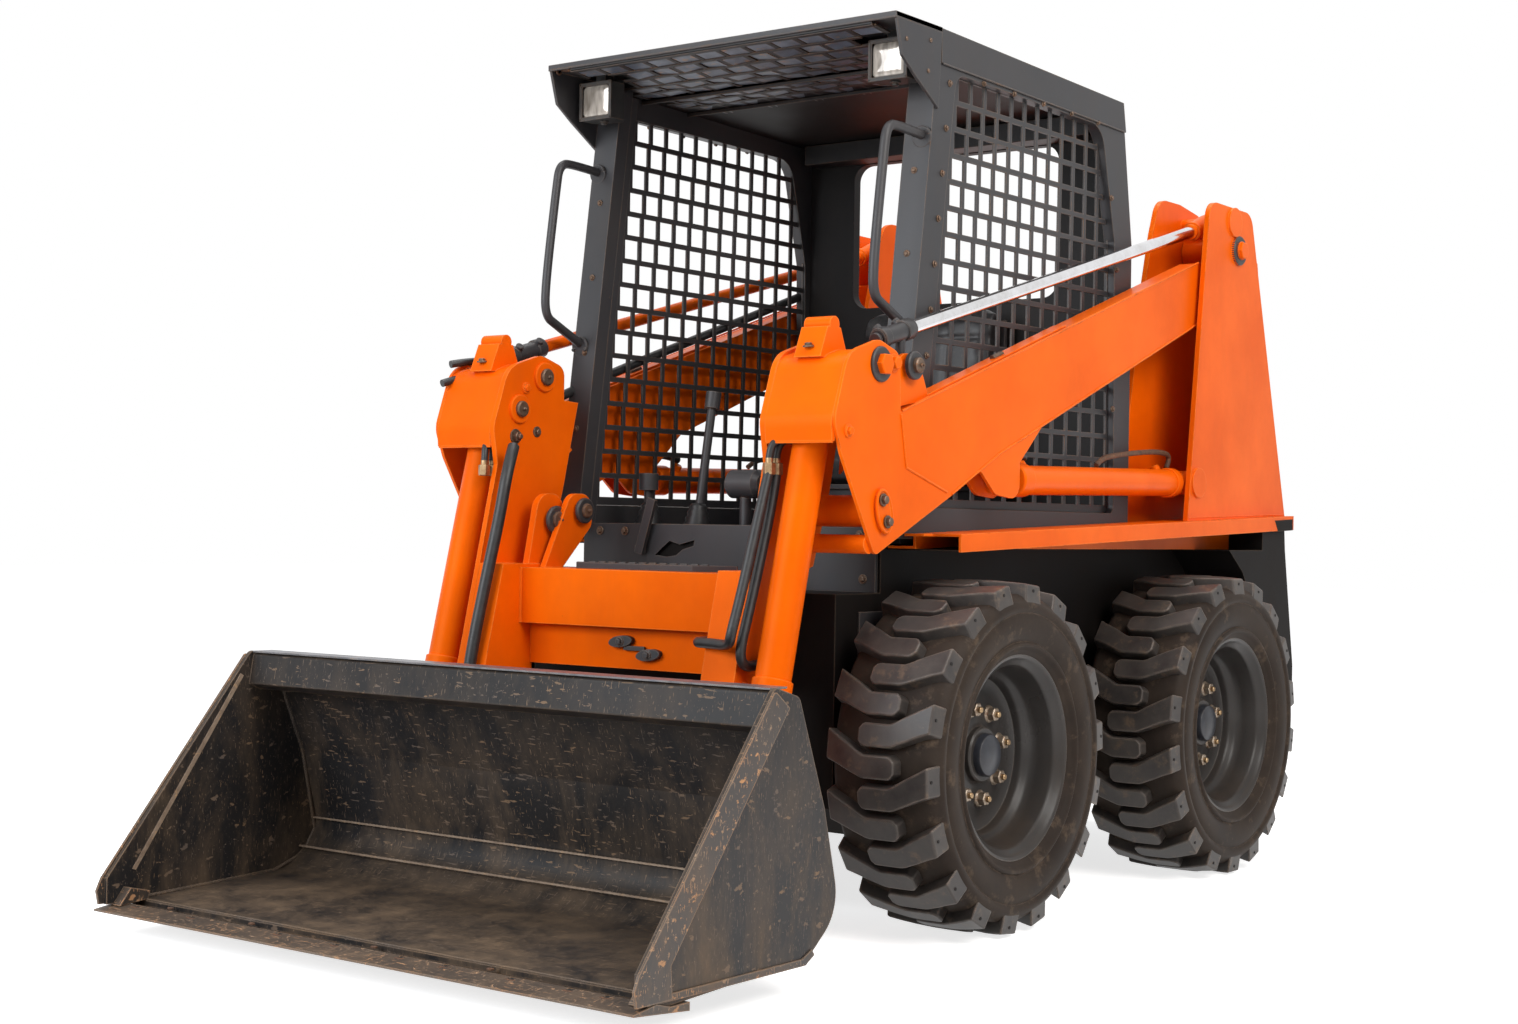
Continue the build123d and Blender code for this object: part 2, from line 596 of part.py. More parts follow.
rail_rows = [
    (4, CAB_TOP - 78, 0),
    (4, CAB_TOP, 0),
    (ROOF_REAR, ROOF_REAR_TOP, 0),
    (ROOF_REAR + 15, ROOF_REAR_TOP - 74, 0),
]
frame += side_plate(outline(rail_rows), CAB_HALF_WIDTH - 1, 4)
frame += pillar
frame -= side_plate(window, CAB_HALF_WIDTH - CAB_POST - 1, CAB_POST + 2)
for name, piece in zip(("cab_frame_left", "cab_frame_right"), left_and_right(frame)):
    export(name, piece)

screen_x = CAB_HALF_WIDTH - CAB_POST + 6
screen = side_plate(offset(window, amount=-SEAT_GAP), screen_x, SCREEN_THICKNESS)
cells = []
for row in range(SCREEN_ROWS):
    height = SCREEN_TOP_ROW - row * SCREEN_PITCH_UP
    pitch = column_station(1, height) - column_station(0, height)
    for column in range(SCREEN_COLUMNS):
        cell = Box(2 * SCREEN_THICKNESS, pitch - SCREEN_BAR, SCREEN_PITCH_UP - SCREEN_BAR)
        place = (screen_x + SCREEN_THICKNESS / 2, column_station(column, height), height)
        cells.append(Pos(*place) * cell)
screen = screen - cells
for name, piece in zip(("side_screen_left", "side_screen_right"), left_and_right(screen)):
    export(name, piece)

ROOF_PLATE = 12.0
ROOF_DROP = 22.0          # of the roof plate's top below the rails' top
roof_rows = [
    (PILLAR_DEPTH + SEAT_GAP, CAB_TOP - ROOF_DROP, 0),
    (CAB_REAR - 30, ROOF_REAR_TOP - ROOF_DROP, 0),
    (CAB_REAR - 30, ROOF_REAR_TOP - ROOF_DROP - ROOF_PLATE, 0),
    (PILLAR_DEPTH + SEAT_GAP, CAB_TOP - ROOF_DROP - ROOF_PLATE, 0),
]
roof = side_plate(outline(roof_rows), -INSIDE, 2 * INSIDE)
# The header joins the two front pillars, flush with the roof plate's underside.
header_half = CAB_HALF_WIDTH - PILLAR_WIDTH - SEAT_GAP
roof += box(
    -header_half, header_half, 0, PILLAR_DEPTH + 2,
    CAB_TOP - ROOF_DROP - ROOF_PLATE, CAB_TOP - 2,
)
export("cab_roof", roof)
VISOR_HALF_WIDTH = CAB_HALF_WIDTH + VISOR_OVERHANG
VISOR_PLATE = 12.0
VISOR_LIP = 40.0
visor = box(-VISOR_HALF_WIDTH, VISOR_HALF_WIDTH, VISOR_FRONT, -2, CAB_TOP - VISOR_PLATE, CAB_TOP)
visor += box(
    -VISOR_HALF_WIDTH, VISOR_HALF_WIDTH, VISOR_FRONT, VISOR_FRONT + 10, CAB_TOP - VISOR_LIP, CAB_TOP
)
gusset_rows = [
    (VISOR_FRONT, CAB_TOP, 0),
    (-2, CAB_TOP, 0),
    (pillar_front(CAB_TOP - 184) - 2, CAB_TOP - 184, 0),
    (VISOR_FRONT + 63, CAB_TOP - 126, 0),
]
gusset = side_plate(outline(gusset_rows), CAB_HALF_WIDTH, VISOR_OVERHANG)
visor += list(left_and_right(gusset))
export("cab_visor", visor)
lamp_top = LAMP_HEIGHT + LAMP_TALL / 2
lamp = box(
    LAMP_X - LAMP_WIDE / 2, LAMP_X + LAMP_WIDE / 2, LAMP_FRONT, LAMP_FRONT + LAMP_DEEP,
    lamp_top - LAMP_TALL, lamp_top,
)
lamp = chamfer(lamp.edges().filter_by(Axis.Z).group_by(Axis.Y)[-1], 18)
lamp -= box(
    LAMP_X - LAMP_WIDE / 2 + 7, LAMP_X + LAMP_WIDE / 2 - 7, LAMP_FRONT - 1, LAMP_FRONT + 9,
    lamp_top - LAMP_TALL + 7, lamp_top - 7,
)
lamp += box(
    LAMP_X - 15, LAMP_X + 15, LAMP_FRONT + 20, LAMP_FRONT + 50,
    lamp_top - 5, CAB_TOP - VISOR_PLATE - SEAT_GAP,
)
export("work_lamps", *left_and_right(lamp))
rear_wall = box(-INSIDE, INSIDE, CAB_REAR - CAB_WALL, CAB_REAR, CAB_BASE, ROOF_REAR_TOP - 35)
rear_window = Rectangle(2 * REAR_WINDOW_HALF_WIDTH, REAR_WINDOW_TOP - REAR_WINDOW_BOTTOM)
rear_window = fillet(rear_window.vertices(), 45)
window_middle = (REAR_WINDOW_TOP + REAR_WINDOW_BOTTOM) / 2
cutter = extrude(Plane.XZ.offset(-CAB_REAR) * Pos(0, window_middle) * rear_window, amount=60, both=True)
rear_wall -= cutter
export("cab_rear", rear_wall)
FLOOR_TOP = CAB_BASE + 12
floor_rear = CAB_REAR - CAB_WALL - SEAT_GAP
floor_base = HULL_TOP + SEAT_GAP
export("cab_floor", box(-INSIDE, INSIDE, -88, floor_rear, floor_base, FLOOR_TOP))
sill_back = SILL_FRONT - SEAT_GAP
sill_face = sill_back - SILL_PLATE
sill_low = HULL_DECK + SEAT_GAP
sill = box(-header_half, header_half, sill_face, sill_back, sill_low, SILL_TOP)
sill += box(-header_half, header_half, sill_face, -82, FLOOR_TOP + SEAT_GAP, SILL_TOP)
# A torn opening, as (x, height below the sill's top).
tear_rows = [
    (-204, 75), (-178, 54), (-160, 41), (-128, 49), (-84, 38),
    (-86, 51), (-120, 61), (-140, 75), (-170, 79),
]
tear = make_face(Polyline(*[(x, SILL_TOP - depth) for x, depth in tear_rows], close=True))
sill -= extrude(Plane.XZ.offset(-SILL_FRONT) * tear, amount=40, both=True)
export("front_sill", sill)

SEAT_HALF_WIDTH = 240.0
SEAT_BASE = CAB_BASE + 130
seat_rows = [
    (400, SEAT_BASE, 12),
    (400, SEAT_BASE + 122, 50),
    (690, SEAT_BASE + 100, 45),
    (722, REAR_WINDOW_BOTTOM, 50),
    (815, REAR_WINDOW_BOTTOM, 50),
    (862, SEAT_BASE, 12),
]
seat = side_plate(outline(seat_rows), -SEAT_HALF_WIDTH, 2 * SEAT_HALF_WIDTH)
seat += box(-200, 200, 430, 840, FLOOR_TOP + SEAT_GAP, SEAT_BASE + 5)
export("seat", seat)

# Levers on the floor: (x, station of the foot, station and height of the top, knob radius).
LEVERS = [
    (-200, 31, 91, CAB_BASE + 353, 19),
    (-330, 0, 0, CAB_BASE + 150, 24),
]
levers = []
for x, foot_y, top_y, top_z, knob_radius in LEVERS:
    foot = (foot_y, FLOOR_TOP + SEAT_GAP)
    top = (top_y, top_z)
    length = hypot(top[0] - foot[0], top[1] - foot[1])
    lever = bar(along(foot, top, 8), top, 11, x)
    lever += bar(along(foot, top, length - 42), top, knob_radius, x)
    lever += cross_pin_z((x, foot_y), foot[1], foot[1] + 20, 24)
    levers.append(lever)
pod = chamfer(cross_pin((-50, CAB_BASE + 122), -37, 61, 34).edges(), 12)
pod += cross_pin_z((12, -50), FLOOR_TOP + SEAT_GAP, CAB_BASE + 105, 14)
levers.append(pod)
latch_foot = (sill_face - 14, SILL_TOP - 72)
latch = box(-12, 12, -5, 5, 0, 138)
latch = Pos(-243, *latch_foot) * Rot(0, 17, 0) * latch
latch += box(
    -253, -233, sill_face - 18, sill_face - SEAT_GAP, latch_foot[1], latch_foot[1] + 20
)
levers.append(latch)
export("control_levers", *levers)

HANDLE_RADIUS = 14.0
HANDLE_GAP = 2.3          # its square-cut ends against the leaning pillars
handle_top_z = CAB_TOP - 249
handle_foot_z = CAB_TOP - 687
handle_path = FilletPolyline(
    (GRAB_X, pillar_front(handle_top_z) - HANDLE_GAP, handle_top_z),
    (GRAB_X, pillar_front(handle_top_z) - 116, handle_top_z),
    (GRAB_X, pillar_front(handle_foot_z) - 126, handle_foot_z),
    (GRAB_X, pillar_front(handle_foot_z) - HANDLE_GAP, handle_foot_z),
    radius=45,
)
handle_start = Plane(handle_path @ 0, z_dir=handle_path % 0)
handle = sweep(handle_start * Circle(HANDLE_RADIUS), path=handle_path)
export("grab_handles", *left_and_right(handle))

# ================================================================ loader arm
INNER_FACE = ARM_CENTRE_X - ARM_WIDTH / 2
OUTER_FACE = ARM_CENTRE_X + ARM_WIDTH / 2
arm_bottom = [(1182, 1438), (170, 1058), (-44, 957)]
arm_top_rear = (1199, 1609)
arm_top_front = (-250, 1133)
side_rows = [
    (ARM_PIVOT[0] + ARM_EYE_RADIUS, 1560, 20),
    (*arm_bottom[0], 0),
    (*arm_bottom[1], 300),
    (*arm_bottom[2], 0),
    (-341, 826, 14),
    (-469, 1037, 60),
    (-496, 1105, 60),
    (-448, 1248, 70),
    (-338, 1283, 50),
    (-256, 1258, 30),
    (*arm_top_front, 0),
    (*arm_top_rear, 0),
    (1300, 1622, 0),
    (ARM_PIVOT[0] + ARM_EYE_RADIUS, 1640, 20),
]
arm = side_plate(outline(side_rows), OUTER_FACE - ARM_PLATE, ARM_PLATE)
beam_rows = [
    (ARM_PIVOT[0] + ARM_EYE_RADIUS, 1560, 20),
    (*arm_bottom[0], 0),
    (*arm_bottom[1], 300),
    (*arm_bottom[2], 0),
    (-230, 1010, 0),
    (*arm_top_front, 0),
    (*arm_top_rear, 0),
    (1300, 1622, 0),
    (ARM_PIVOT[0] + ARM_EYE_RADIUS, 1640, 20),
]
beam_face = outline(beam_rows)
arm += side_plate(beam_face, INNER_FACE, ARM_WIDTH - ARM_PLATE)
hollow_rows = [
    (ARM_PIVOT[0] + 200, 1500, 0),
    (1184, 1450, 0),
    (170, 1070, 300),
    (-44, 970, 0),
    (-200, 1020, 0),
    (-215, 1133, 0),
    (1199, 1597, 0),
    (1250, 1700, 0),
    (ARM_PIVOT[0] + 200, 1700, 0),
]
arm -= side_plate(outline(hollow_rows), INNER_FACE + ARM_PLATE, ARM_WIDTH - 2 * ARM_PLATE)
level_ear_face = outline([(-270, 1140, 0), (-236, 1262, 30), (-168, 1262, 30), (-120, 1168, 0)])
for x in (INNER_FACE, LEVEL_X + LEVEL_EYE_WIDTH / 2 + 2):
    arm += side_plate(level_ear_face, x, 8)
arm += cross_pin(LEVEL_PIN, INNER_FACE, OUTER_FACE - 2, PIN_RADIUS)
arm += cross_pin(ARM_PIVOT, TOWER_INNER_X + TOWER_PLATE + 2, TOWER_OUTER_X - TOWER_PLATE - 2, ARM_EYE_RADIUS)
arm -= cross_pin(ARM_PIVOT, 400, 700, ARM_PIN_RADIUS + PIN_GAP)
bracket_rows = [(80, 1020, 0), (150, 965, 40), (258, 955, 35), (258, 1042, 0), (365, 1135, 0), (170, 1075, 0)]
bracket_face = outline(bracket_rows)
for x in (INNER_FACE, OUTER_FACE - ARM_PLATE):
    arm += side_plate(bracket_face, x, ARM_PLATE)
for name, piece in zip(("boom_arm_left", "boom_arm_right"), left_and_right(arm)):
    export(name, piece)

# Knuckle: inner plate, leg box, cover over the tilt cylinder's head, lug and cross tubes.
knuckle_rows = [
    (-256, 960, 0),
    (-312, 800, 0),
    (-430, 760, 60),
    (BUCKET_PIVOT[0] + 50, BUCKET_PIVOT[1], 0),
    (BUCKET_PIVOT[0], BUCKET_PIVOT[1] - 60, 55),
    (BUCKET_PIVOT[0] - 90, BUCKET_PIVOT[1] + 20, 50),
    (-640, 340, 60),
    (-587, 562, 0),
    (-480, 1020, 0),
    (-496, 1105, 60),
    (-448, 1248, 70),
    (-338, 1283, 50),
    (-256, 1258, 30),
    (-256, 1180, 0),
    (-205, 1177, 0),
]
knuckle = side_plate(outline(knuckle_rows), LEG_OUTER_X - LEG_PLATE, LEG_PLATE)
leg_rows = [
    (-330, 790, 0),
    (-430, 760, 60),
    (BUCKET_PIVOT[0] + 50, BUCKET_PIVOT[1], 0),
    (BUCKET_PIVOT[0], BUCKET_PIVOT[1] - 60, 55),
    (BUCKET_PIVOT[0] - 90, BUCKET_PIVOT[1] + 20, 50),
    (-640, 340, 60),
    (-587, 562, 0),
    (-533, 790, 0),
]
leg = side_plate(outline(leg_rows), LEG_INNER_X, LEG_OUTER_X - LEG_INNER_X)
knuckle += leg
knuckle -= cross_pin(BUCKET_PIVOT, 200, 600, BUCKET_PIN_RADIUS + PIN_GAP)
COVER_FROM = LEG_OUTER_X
COVER_TO = OUTER_FACE - ARM_PLATE
cover_outer = [
    (-492, 1062, 0),
    (-496, 1105, 60),
    (-448, 1240, 60),
    (-390, 1258, 20),
    (-310, 1258, 0),
    (-310, 1248, 0),
    (-390, 1248, 20),
    (-442, 1232, 52),
    (-486, 1105, 50),
    (-482, 1062, 0),
]
knuckle += side_plate(outline(cover_outer), COVER_FROM, COVER_TO - COVER_FROM)
head_half = TILT_EYE_WIDTH / 2 + 2
for x_from, x_to in ((COVER_FROM, TILT_X - head_half), (TILT_X + head_half, COVER_TO)):
    knuckle += cross_pin(TILT_HEAD, x_from, x_to, 34)
knuckle += cross_pin(TILT_HEAD, COVER_FROM, COVER_TO, PIN_RADIUS)
knuckle += cross_pin((-317, 920), COVER_FROM, COVER_TO, 34)
knuckle += cross_pin((-352, 850), COVER_FROM, COVER_TO, 20)
pedestal_rows = [(-452, 1240, 0), (-425, 1306, 0), (-378, 1306, 0), (-350, 1240, 0)]
pedestal_half = 34.0
pedestal = side_plate(outline(pedestal_rows), TILT_X - pedestal_half, 2 * pedestal_half)
pedestal += cross_pin((-400, 1312), TILT_X - pedestal_half, TILT_X + pedestal_half, 17)
knuckle += pedestal
outer_ear_rows = [(-440, 780, 0), (-404, 954, 42), (-314, 954, 42), (-338, 780, 0)]
knuckle += side_plate(outline(outer_ear_rows), LEG_INNER_X + 11, 18)
knuckle += cross_pin((-358, 892), LEG_INNER_X + 2, LEG_INNER_X + 38, 24)
for name, piece in zip(("knuckle_left", "knuckle_right"), left_and_right(knuckle)):
    export(name, piece)

BEAM_TOP = 782.0
BEAM_BOTTOM = 655.0
crossmember = box(-LEG_INNER_X, LEG_INNER_X, -473, -360, BEAM_BOTTOM, BEAM_TOP)
crossmember += box(-LEG_INNER_X, LEG_INNER_X, -440, -428, 562, BEAM_BOTTOM)
inner_ear_rows = [
    (-420, BEAM_TOP - 7, 0),
    (-330, 955, 38),
    (-256, 955, 38),
    (-256, 880, 30),
    (-362, BEAM_TOP - 7, 0),
]
ear = side_plate(outline(inner_ear_rows), LEG_INNER_X - 21, 16)
ear += cross_pin((-294, 915), LEG_INNER_X - 29, LEG_INNER_X, 20)
crossmember += list(left_and_right(ear))
export("boom_crossmember", crossmember)
step = make_face(Polyline((-235, -366), (-190, -420), (150, -420), (235, -366), close=True))
export("boom_step", Pos(0, 0, BEAM_TOP + SEAT_GAP) * extrude(step, amount=14))

# Two hoses a side, from the knuckle's inner plate down past the leg's front edge.
hose_low = BEAM_BOTTOM - HOSE_RADIUS - 4
inner_route = [
    (HOSE_X, -496, 1000),
    (HOSE_X, -515, 955),
    (HOSE_X, -590, 735),
    (HOSE_X, -622, hose_low),
    (LEG_INNER_X - 25, -580, hose_low),
    (LEG_INNER_X - 25, -440 - SEAT_GAP, hose_low),
]
outer_route = [
    (HOSE_X, -470, 1000),
    (HOSE_X, -480, 940),
    (HOSE_X, -556, 711),
    (HOSE_X, -588, 598),
    (HOSE_X, -470, 598),
]
hoses = []
for route, arc in ((inner_route, 32), (outer_route, 40)):
    hose_path = FilletPolyline(*route, radius=arc)
    hose_start = Plane(hose_path @ 0, z_dir=hose_path % 0)
    hoses.append(sweep(hose_start * Circle(HOSE_RADIUS), path=hose_path))
port_to = HOSE_X + HOSE_RADIUS + 2
hoses[0] += box(LEG_OUTER_X + SEAT_GAP, port_to, -510, -455, 985, 1015)
hoses[1] += cross_pin((-470, 598), LEG_OUTER_X + SEAT_GAP, port_to, HOSE_RADIUS + 4)
hose_pair = hoses[0] + hoses[1]
export("boom_hoses", *left_and_right(hose_pair))

# ================================================================ bucket
CHEEK_OUTER_X = BUCKET_HALF_WIDTH - CUTTER_THICKNESS
CHEEK_INNER_X = CHEEK_OUTER_X - BUCKET_PLATE
LIP_FRONT = -911.0
LIP_TOP = 586.0
shell_rows = [
    (BUCKET_TIP + 100, 52, 0),
    (-790, 72, 100),
    (-690, 150, 90),
    (-741, 349, 0),
    (-826, LIP_TOP - 22, 26),
    (LIP_FRONT + 12, LIP_TOP - 2, 10),
    (LIP_FRONT, LIP_TOP - 74, 4),
    (LIP_FRONT + 34, LIP_TOP - 88, 0),
    (LIP_FRONT + 37, LIP_TOP - 80, 0),
    (LIP_FRONT + 11, LIP_TOP - 69, 0),
    (LIP_FRONT + 20, LIP_TOP - 13, 0),
    (-838, LIP_TOP - 34, 14),
    (-751, 349, 0),
    (-702, 155, 80),
    (-795, 84, 90),
    (BUCKET_TIP + 100, 64, 0),
]
shell = side_plate(outline(shell_rows), -CHEEK_INNER_X, 2 * CHEEK_INNER_X)
cheek_rows = [
    (BUCKET_TIP + 100, 52, 0),
    (-790, 70, 100),
    (-688, 150, 90),
    (-741, 349, 0),
    (-828, LIP_TOP - 20, 22),
    (-905, LIP_TOP + 2, 18),
    (BUCKET_TIP + 20, 118, 0),
    (BUCKET_TIP + 20, 62.5, 0),
    (BUCKET_TIP + 62, 62.5, 0),
]
cheek = side_plate(outline(cheek_rows), CHEEK_INNER_X, BUCKET_PLATE)
shell += list(left_and_right(cheek))
export("bucket_shell", shell)
cutter_rows = [
    (BUCKET_TIP + 8, 63, 0),
    (BUCKET_TIP + 2, 92, 0),
    (BUCKET_TIP + 14, 118, 0),
    (-912, 582, 8),
    (-866, 548, 0),
    (-1203, 122, 0),
    (-1198, 63, 0),
]
cutter = side_plate(outline(cutter_rows), CHEEK_OUTER_X + SEAT_GAP, CUTTER_THICKNESS - SEAT_GAP)
export("side_cutters", *left_and_right(cutter))
edge_rows = [
    (BUCKET_TIP, 50, 0),
    (-1150, 36, 0),
    (-1150, 51.7, 0),
    (-1202, 51.7, 0),
    (-1240, 62, 0),
    (BUCKET_TIP, 54, 0),
]
edge = side_plate(outline(edge_rows), -BUCKET_HALF_WIDTH, 2 * BUCKET_HALF_WIDTH)
for x in EDGE_HOLES_X:
    edge -= cross_pin_z((x, BUCKET_TIP + 62), 30, 70, EDGE_HOLE_RADIUS)
export("cutting_edge", edge)
pivot_rows = [
    (-741, 349, 0),
    (-640, 330, 40),
    (BUCKET_PIVOT[0] + 55, BUCKET_PIVOT[1] + 40, 50),
    (BUCKET_PIVOT[0] + 30, BUCKET_PIVOT[1] - 60, 50),
    (-690, 150, 0),
]
tilt_rows = [
    (-778, 440, 0),
    (TILT_EYE[0] - 25, TILT_EYE[1] + 42, 30),
    (TILT_EYE[0] + 40, TILT_EYE[1] + 30, 36),
    (TILT_EYE[0] + 20, TILT_EYE[1] - 60, 50),
    (-690, 180, 0),
    (-741, 349, 0),
]
lugs = []
for x, rows, point in (
    (LEG_INNER_X - 5 - 14, pivot_rows, BUCKET_PIVOT),
    (LEG_OUTER_X + 5, pivot_rows, BUCKET_PIVOT),
    (TILT_X - TILT_EYE_WIDTH / 2 - EAR_GAP - 12, tilt_rows, TILT_EYE),
    (TILT_X + TILT_EYE_WIDTH / 2 + EAR_GAP, tilt_rows, TILT_EYE),
):
    plate = side_plate(outline(rows), x, 12)
    lugs.extend(left_and_right(plate))
pivot_pin = cross_pin(BUCKET_PIVOT, LEG_INNER_X - 30, LEG_OUTER_X + 28, BUCKET_PIN_RADIUS)
lugs.extend(left_and_right(pivot_pin))
lug_node = lugs[0] + lugs[1:]
lug_node -= shell
export("bucket_lugs", lug_node)

# ================================================================ cylinders


def tube_and_rod(foot, eye, x, tube_radius, rod_radius, tube_reach, eye_radius, eye_width, stroke_in):
    """A cylinder at one x: its tube, pinned at foot, and its rod, ending at eye.

    stroke_in is the travel left for the rod to go further into the tube.
    """
    run = hypot(eye[0] - foot[0], eye[1] - foot[1])
    gland = along(foot, eye, tube_reach)
    tube_start = along(foot, eye, eye_radius + 8)
    tube = bar(tube_start, gland, tube_radius, x) + bar(foot, tube_start, eye_width / 2 - 1, x)
    tube += cross_pin(foot, x - eye_width / 2, x + eye_width / 2, eye_radius)
    tube -= cross_pin(foot, x - 100, x + 100, PIN_RADIUS + PIN_GAP)
    bore_from = along(foot, eye, eye_radius + 24)
    tube -= bar(bore_from, along(foot, eye, tube_reach + 5), rod_radius + PIN_GAP, x)
    rod_from = along(foot, eye, eye_radius + 36 + stroke_in)
    rod = bar(rod_from, eye, rod_radius, x)
    rod += cross_pin(eye, x - eye_width / 2, x + eye_width / 2, eye_radius)
    return tube, rod


lift_tube, lift_rod = tube_and_rod(
    LIFT_FOOT, LIFT_EYE, ARM_CENTRE_X, LIFT_TUBE_RADIUS, LIFT_ROD_RADIUS,
    876, LIFT_EYE_RADIUS, LIFT_EYE_WIDTH, 0,
)
tilt_tube, tilt_rod = tube_and_rod(
    TILT_HEAD, TILT_EYE, TILT_X, TILT_TUBE_RADIUS, TILT_ROD_RADIUS,
    650, TILT_EYE_RADIUS, TILT_EYE_WIDTH, TILT_CURL_STROKE,
)
level_gland = along(LEVEL_FRONT, LEVEL_EYE, LEVEL_TUBE_LENGTH)
level_half = LEVEL_EYE_WIDTH / 2
level_tube = bar(level_gland, LEVEL_FRONT, LEVEL_TUBE_RADIUS, LEVEL_X)
level_bore_end = along(level_gland, LEVEL_FRONT, LEVEL_TUBE_LENGTH - 17)
level_tube += bar(LEVEL_PIN, (LEVEL_PIN[0], LEVEL_PIN[1] + 62), level_half - 2, LEVEL_X)
level_tube += cross_pin(LEVEL_PIN, LEVEL_X - level_half, LEVEL_X + level_half, LEVEL_EYE_RADIUS)
level_bore_start = along(level_gland, LEVEL_FRONT, -5)
level_tube -= bar(level_bore_start, level_bore_end, LEVEL_ROD_RADIUS + PIN_GAP, LEVEL_X)
level_tube -= cross_pin(LEVEL_PIN, LEVEL_X - 60, LEVEL_X + 60, PIN_RADIUS + PIN_GAP)
level_rod = bar(LEVEL_EYE, along(level_gland, LEVEL_FRONT, 20), LEVEL_ROD_RADIUS, LEVEL_X)
level_rod += cross_pin(LEVEL_EYE, LEVEL_X - level_half, LEVEL_X + level_half, LEVEL_EYE_RADIUS)
for side_name, flip in (("left", False), ("right", True)):
    for node, piece in (
        ("lift_tube", lift_tube), ("lift_rod", lift_rod), ("tilt_tube", tilt_tube),
        ("tilt_rod", tilt_rod), ("level_tube", level_tube), ("level_rod", level_rod),
    ):
        export(f"{node}_{side_name}", mirror(piece, Plane.YZ) if flip else piece)
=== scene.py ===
"""Skid steer loader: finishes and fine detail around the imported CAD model.

Places are millimetres until at() turns them into scene metres. As in the part's source, a
station is measured back from the front axle, and +X is the machine's left-hand side.
"""

import json
import math

import bmesh
import bpy
from mathutils import Matrix, Vector


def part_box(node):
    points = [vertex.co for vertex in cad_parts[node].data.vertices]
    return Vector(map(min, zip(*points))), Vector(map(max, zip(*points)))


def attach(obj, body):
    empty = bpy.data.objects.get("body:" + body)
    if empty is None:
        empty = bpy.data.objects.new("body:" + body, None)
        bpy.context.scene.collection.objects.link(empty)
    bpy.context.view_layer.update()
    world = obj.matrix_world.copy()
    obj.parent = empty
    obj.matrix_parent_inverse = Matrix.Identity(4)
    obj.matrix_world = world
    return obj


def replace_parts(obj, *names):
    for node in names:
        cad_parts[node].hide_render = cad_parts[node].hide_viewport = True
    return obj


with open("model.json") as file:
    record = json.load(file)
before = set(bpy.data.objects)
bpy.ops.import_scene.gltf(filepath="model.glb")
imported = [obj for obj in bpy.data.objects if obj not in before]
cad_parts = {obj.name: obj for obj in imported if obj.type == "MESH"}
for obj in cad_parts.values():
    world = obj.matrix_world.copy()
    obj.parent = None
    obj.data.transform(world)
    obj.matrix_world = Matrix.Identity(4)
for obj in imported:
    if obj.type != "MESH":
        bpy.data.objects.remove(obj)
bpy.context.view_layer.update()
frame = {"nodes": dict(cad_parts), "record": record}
nodes = frame["nodes"]


def middle(node):
    """Centre of a CAD node's box, in millimetres."""
    low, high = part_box(node)
    return (Vector(low) + Vector(high)) * 500


# Axes on the left-hand side, where most pieces are drawn before they are mirrored.
OUT, INWARD = (1, 0, 0), (-1, 0, 0)
FORWARD, BACKWARD = (0, -1, 0), (0, 1, 0)
UP, DOWN = (0, 0, 1), (0, 0, -1)
FRONT_AXLE = middle("tyre_front_left")
WHEELBASE = middle("tyre_rear_left").y - FRONT_AXLE.y
AXLE_HEIGHT = FRONT_AXLE.z
TYRE_CENTRE_X = FRONT_AXLE.x
TYRE_RADIUS = 388.0
SIDES = (("left", 1), ("right", -1))


def at(point):
    """A (x, station, height) point in millimetres as a place in the scene."""
    return Vector((point[0], point[1] + FRONT_AXLE.y, point[2])) / 1000


# ---- mesh helpers
def facing(axis):
    """Turns +Z onto the axis."""
    return Vector(UP).rotation_difference(Vector(axis).normalized()).to_matrix()


def circle(radius, sides, shift=0.0):
    """Points round the origin, in the plane across +Z."""
    angles = [2 * math.pi * (k + shift) / sides for k in range(sides)]
    return [Vector((radius * math.cos(a), radius * math.sin(a), 0)) for a in angles]


def oval(centre, across, along, count):
    """Points of an oval outline, given its centre and its two half axes."""
    axes = list(zip(centre, across, along))
    turns = [2 * math.pi * k / count for k in range(count)]
    return [tuple(c + a * math.cos(t) + b * math.sin(t) for c, a, b in axes) for t in turns]


BEAD_STEP = 6             # distance between a weld bead's ripples
BEAD_RIPPLE = 0.13        # how far they stand out, as a share of the bead's radius


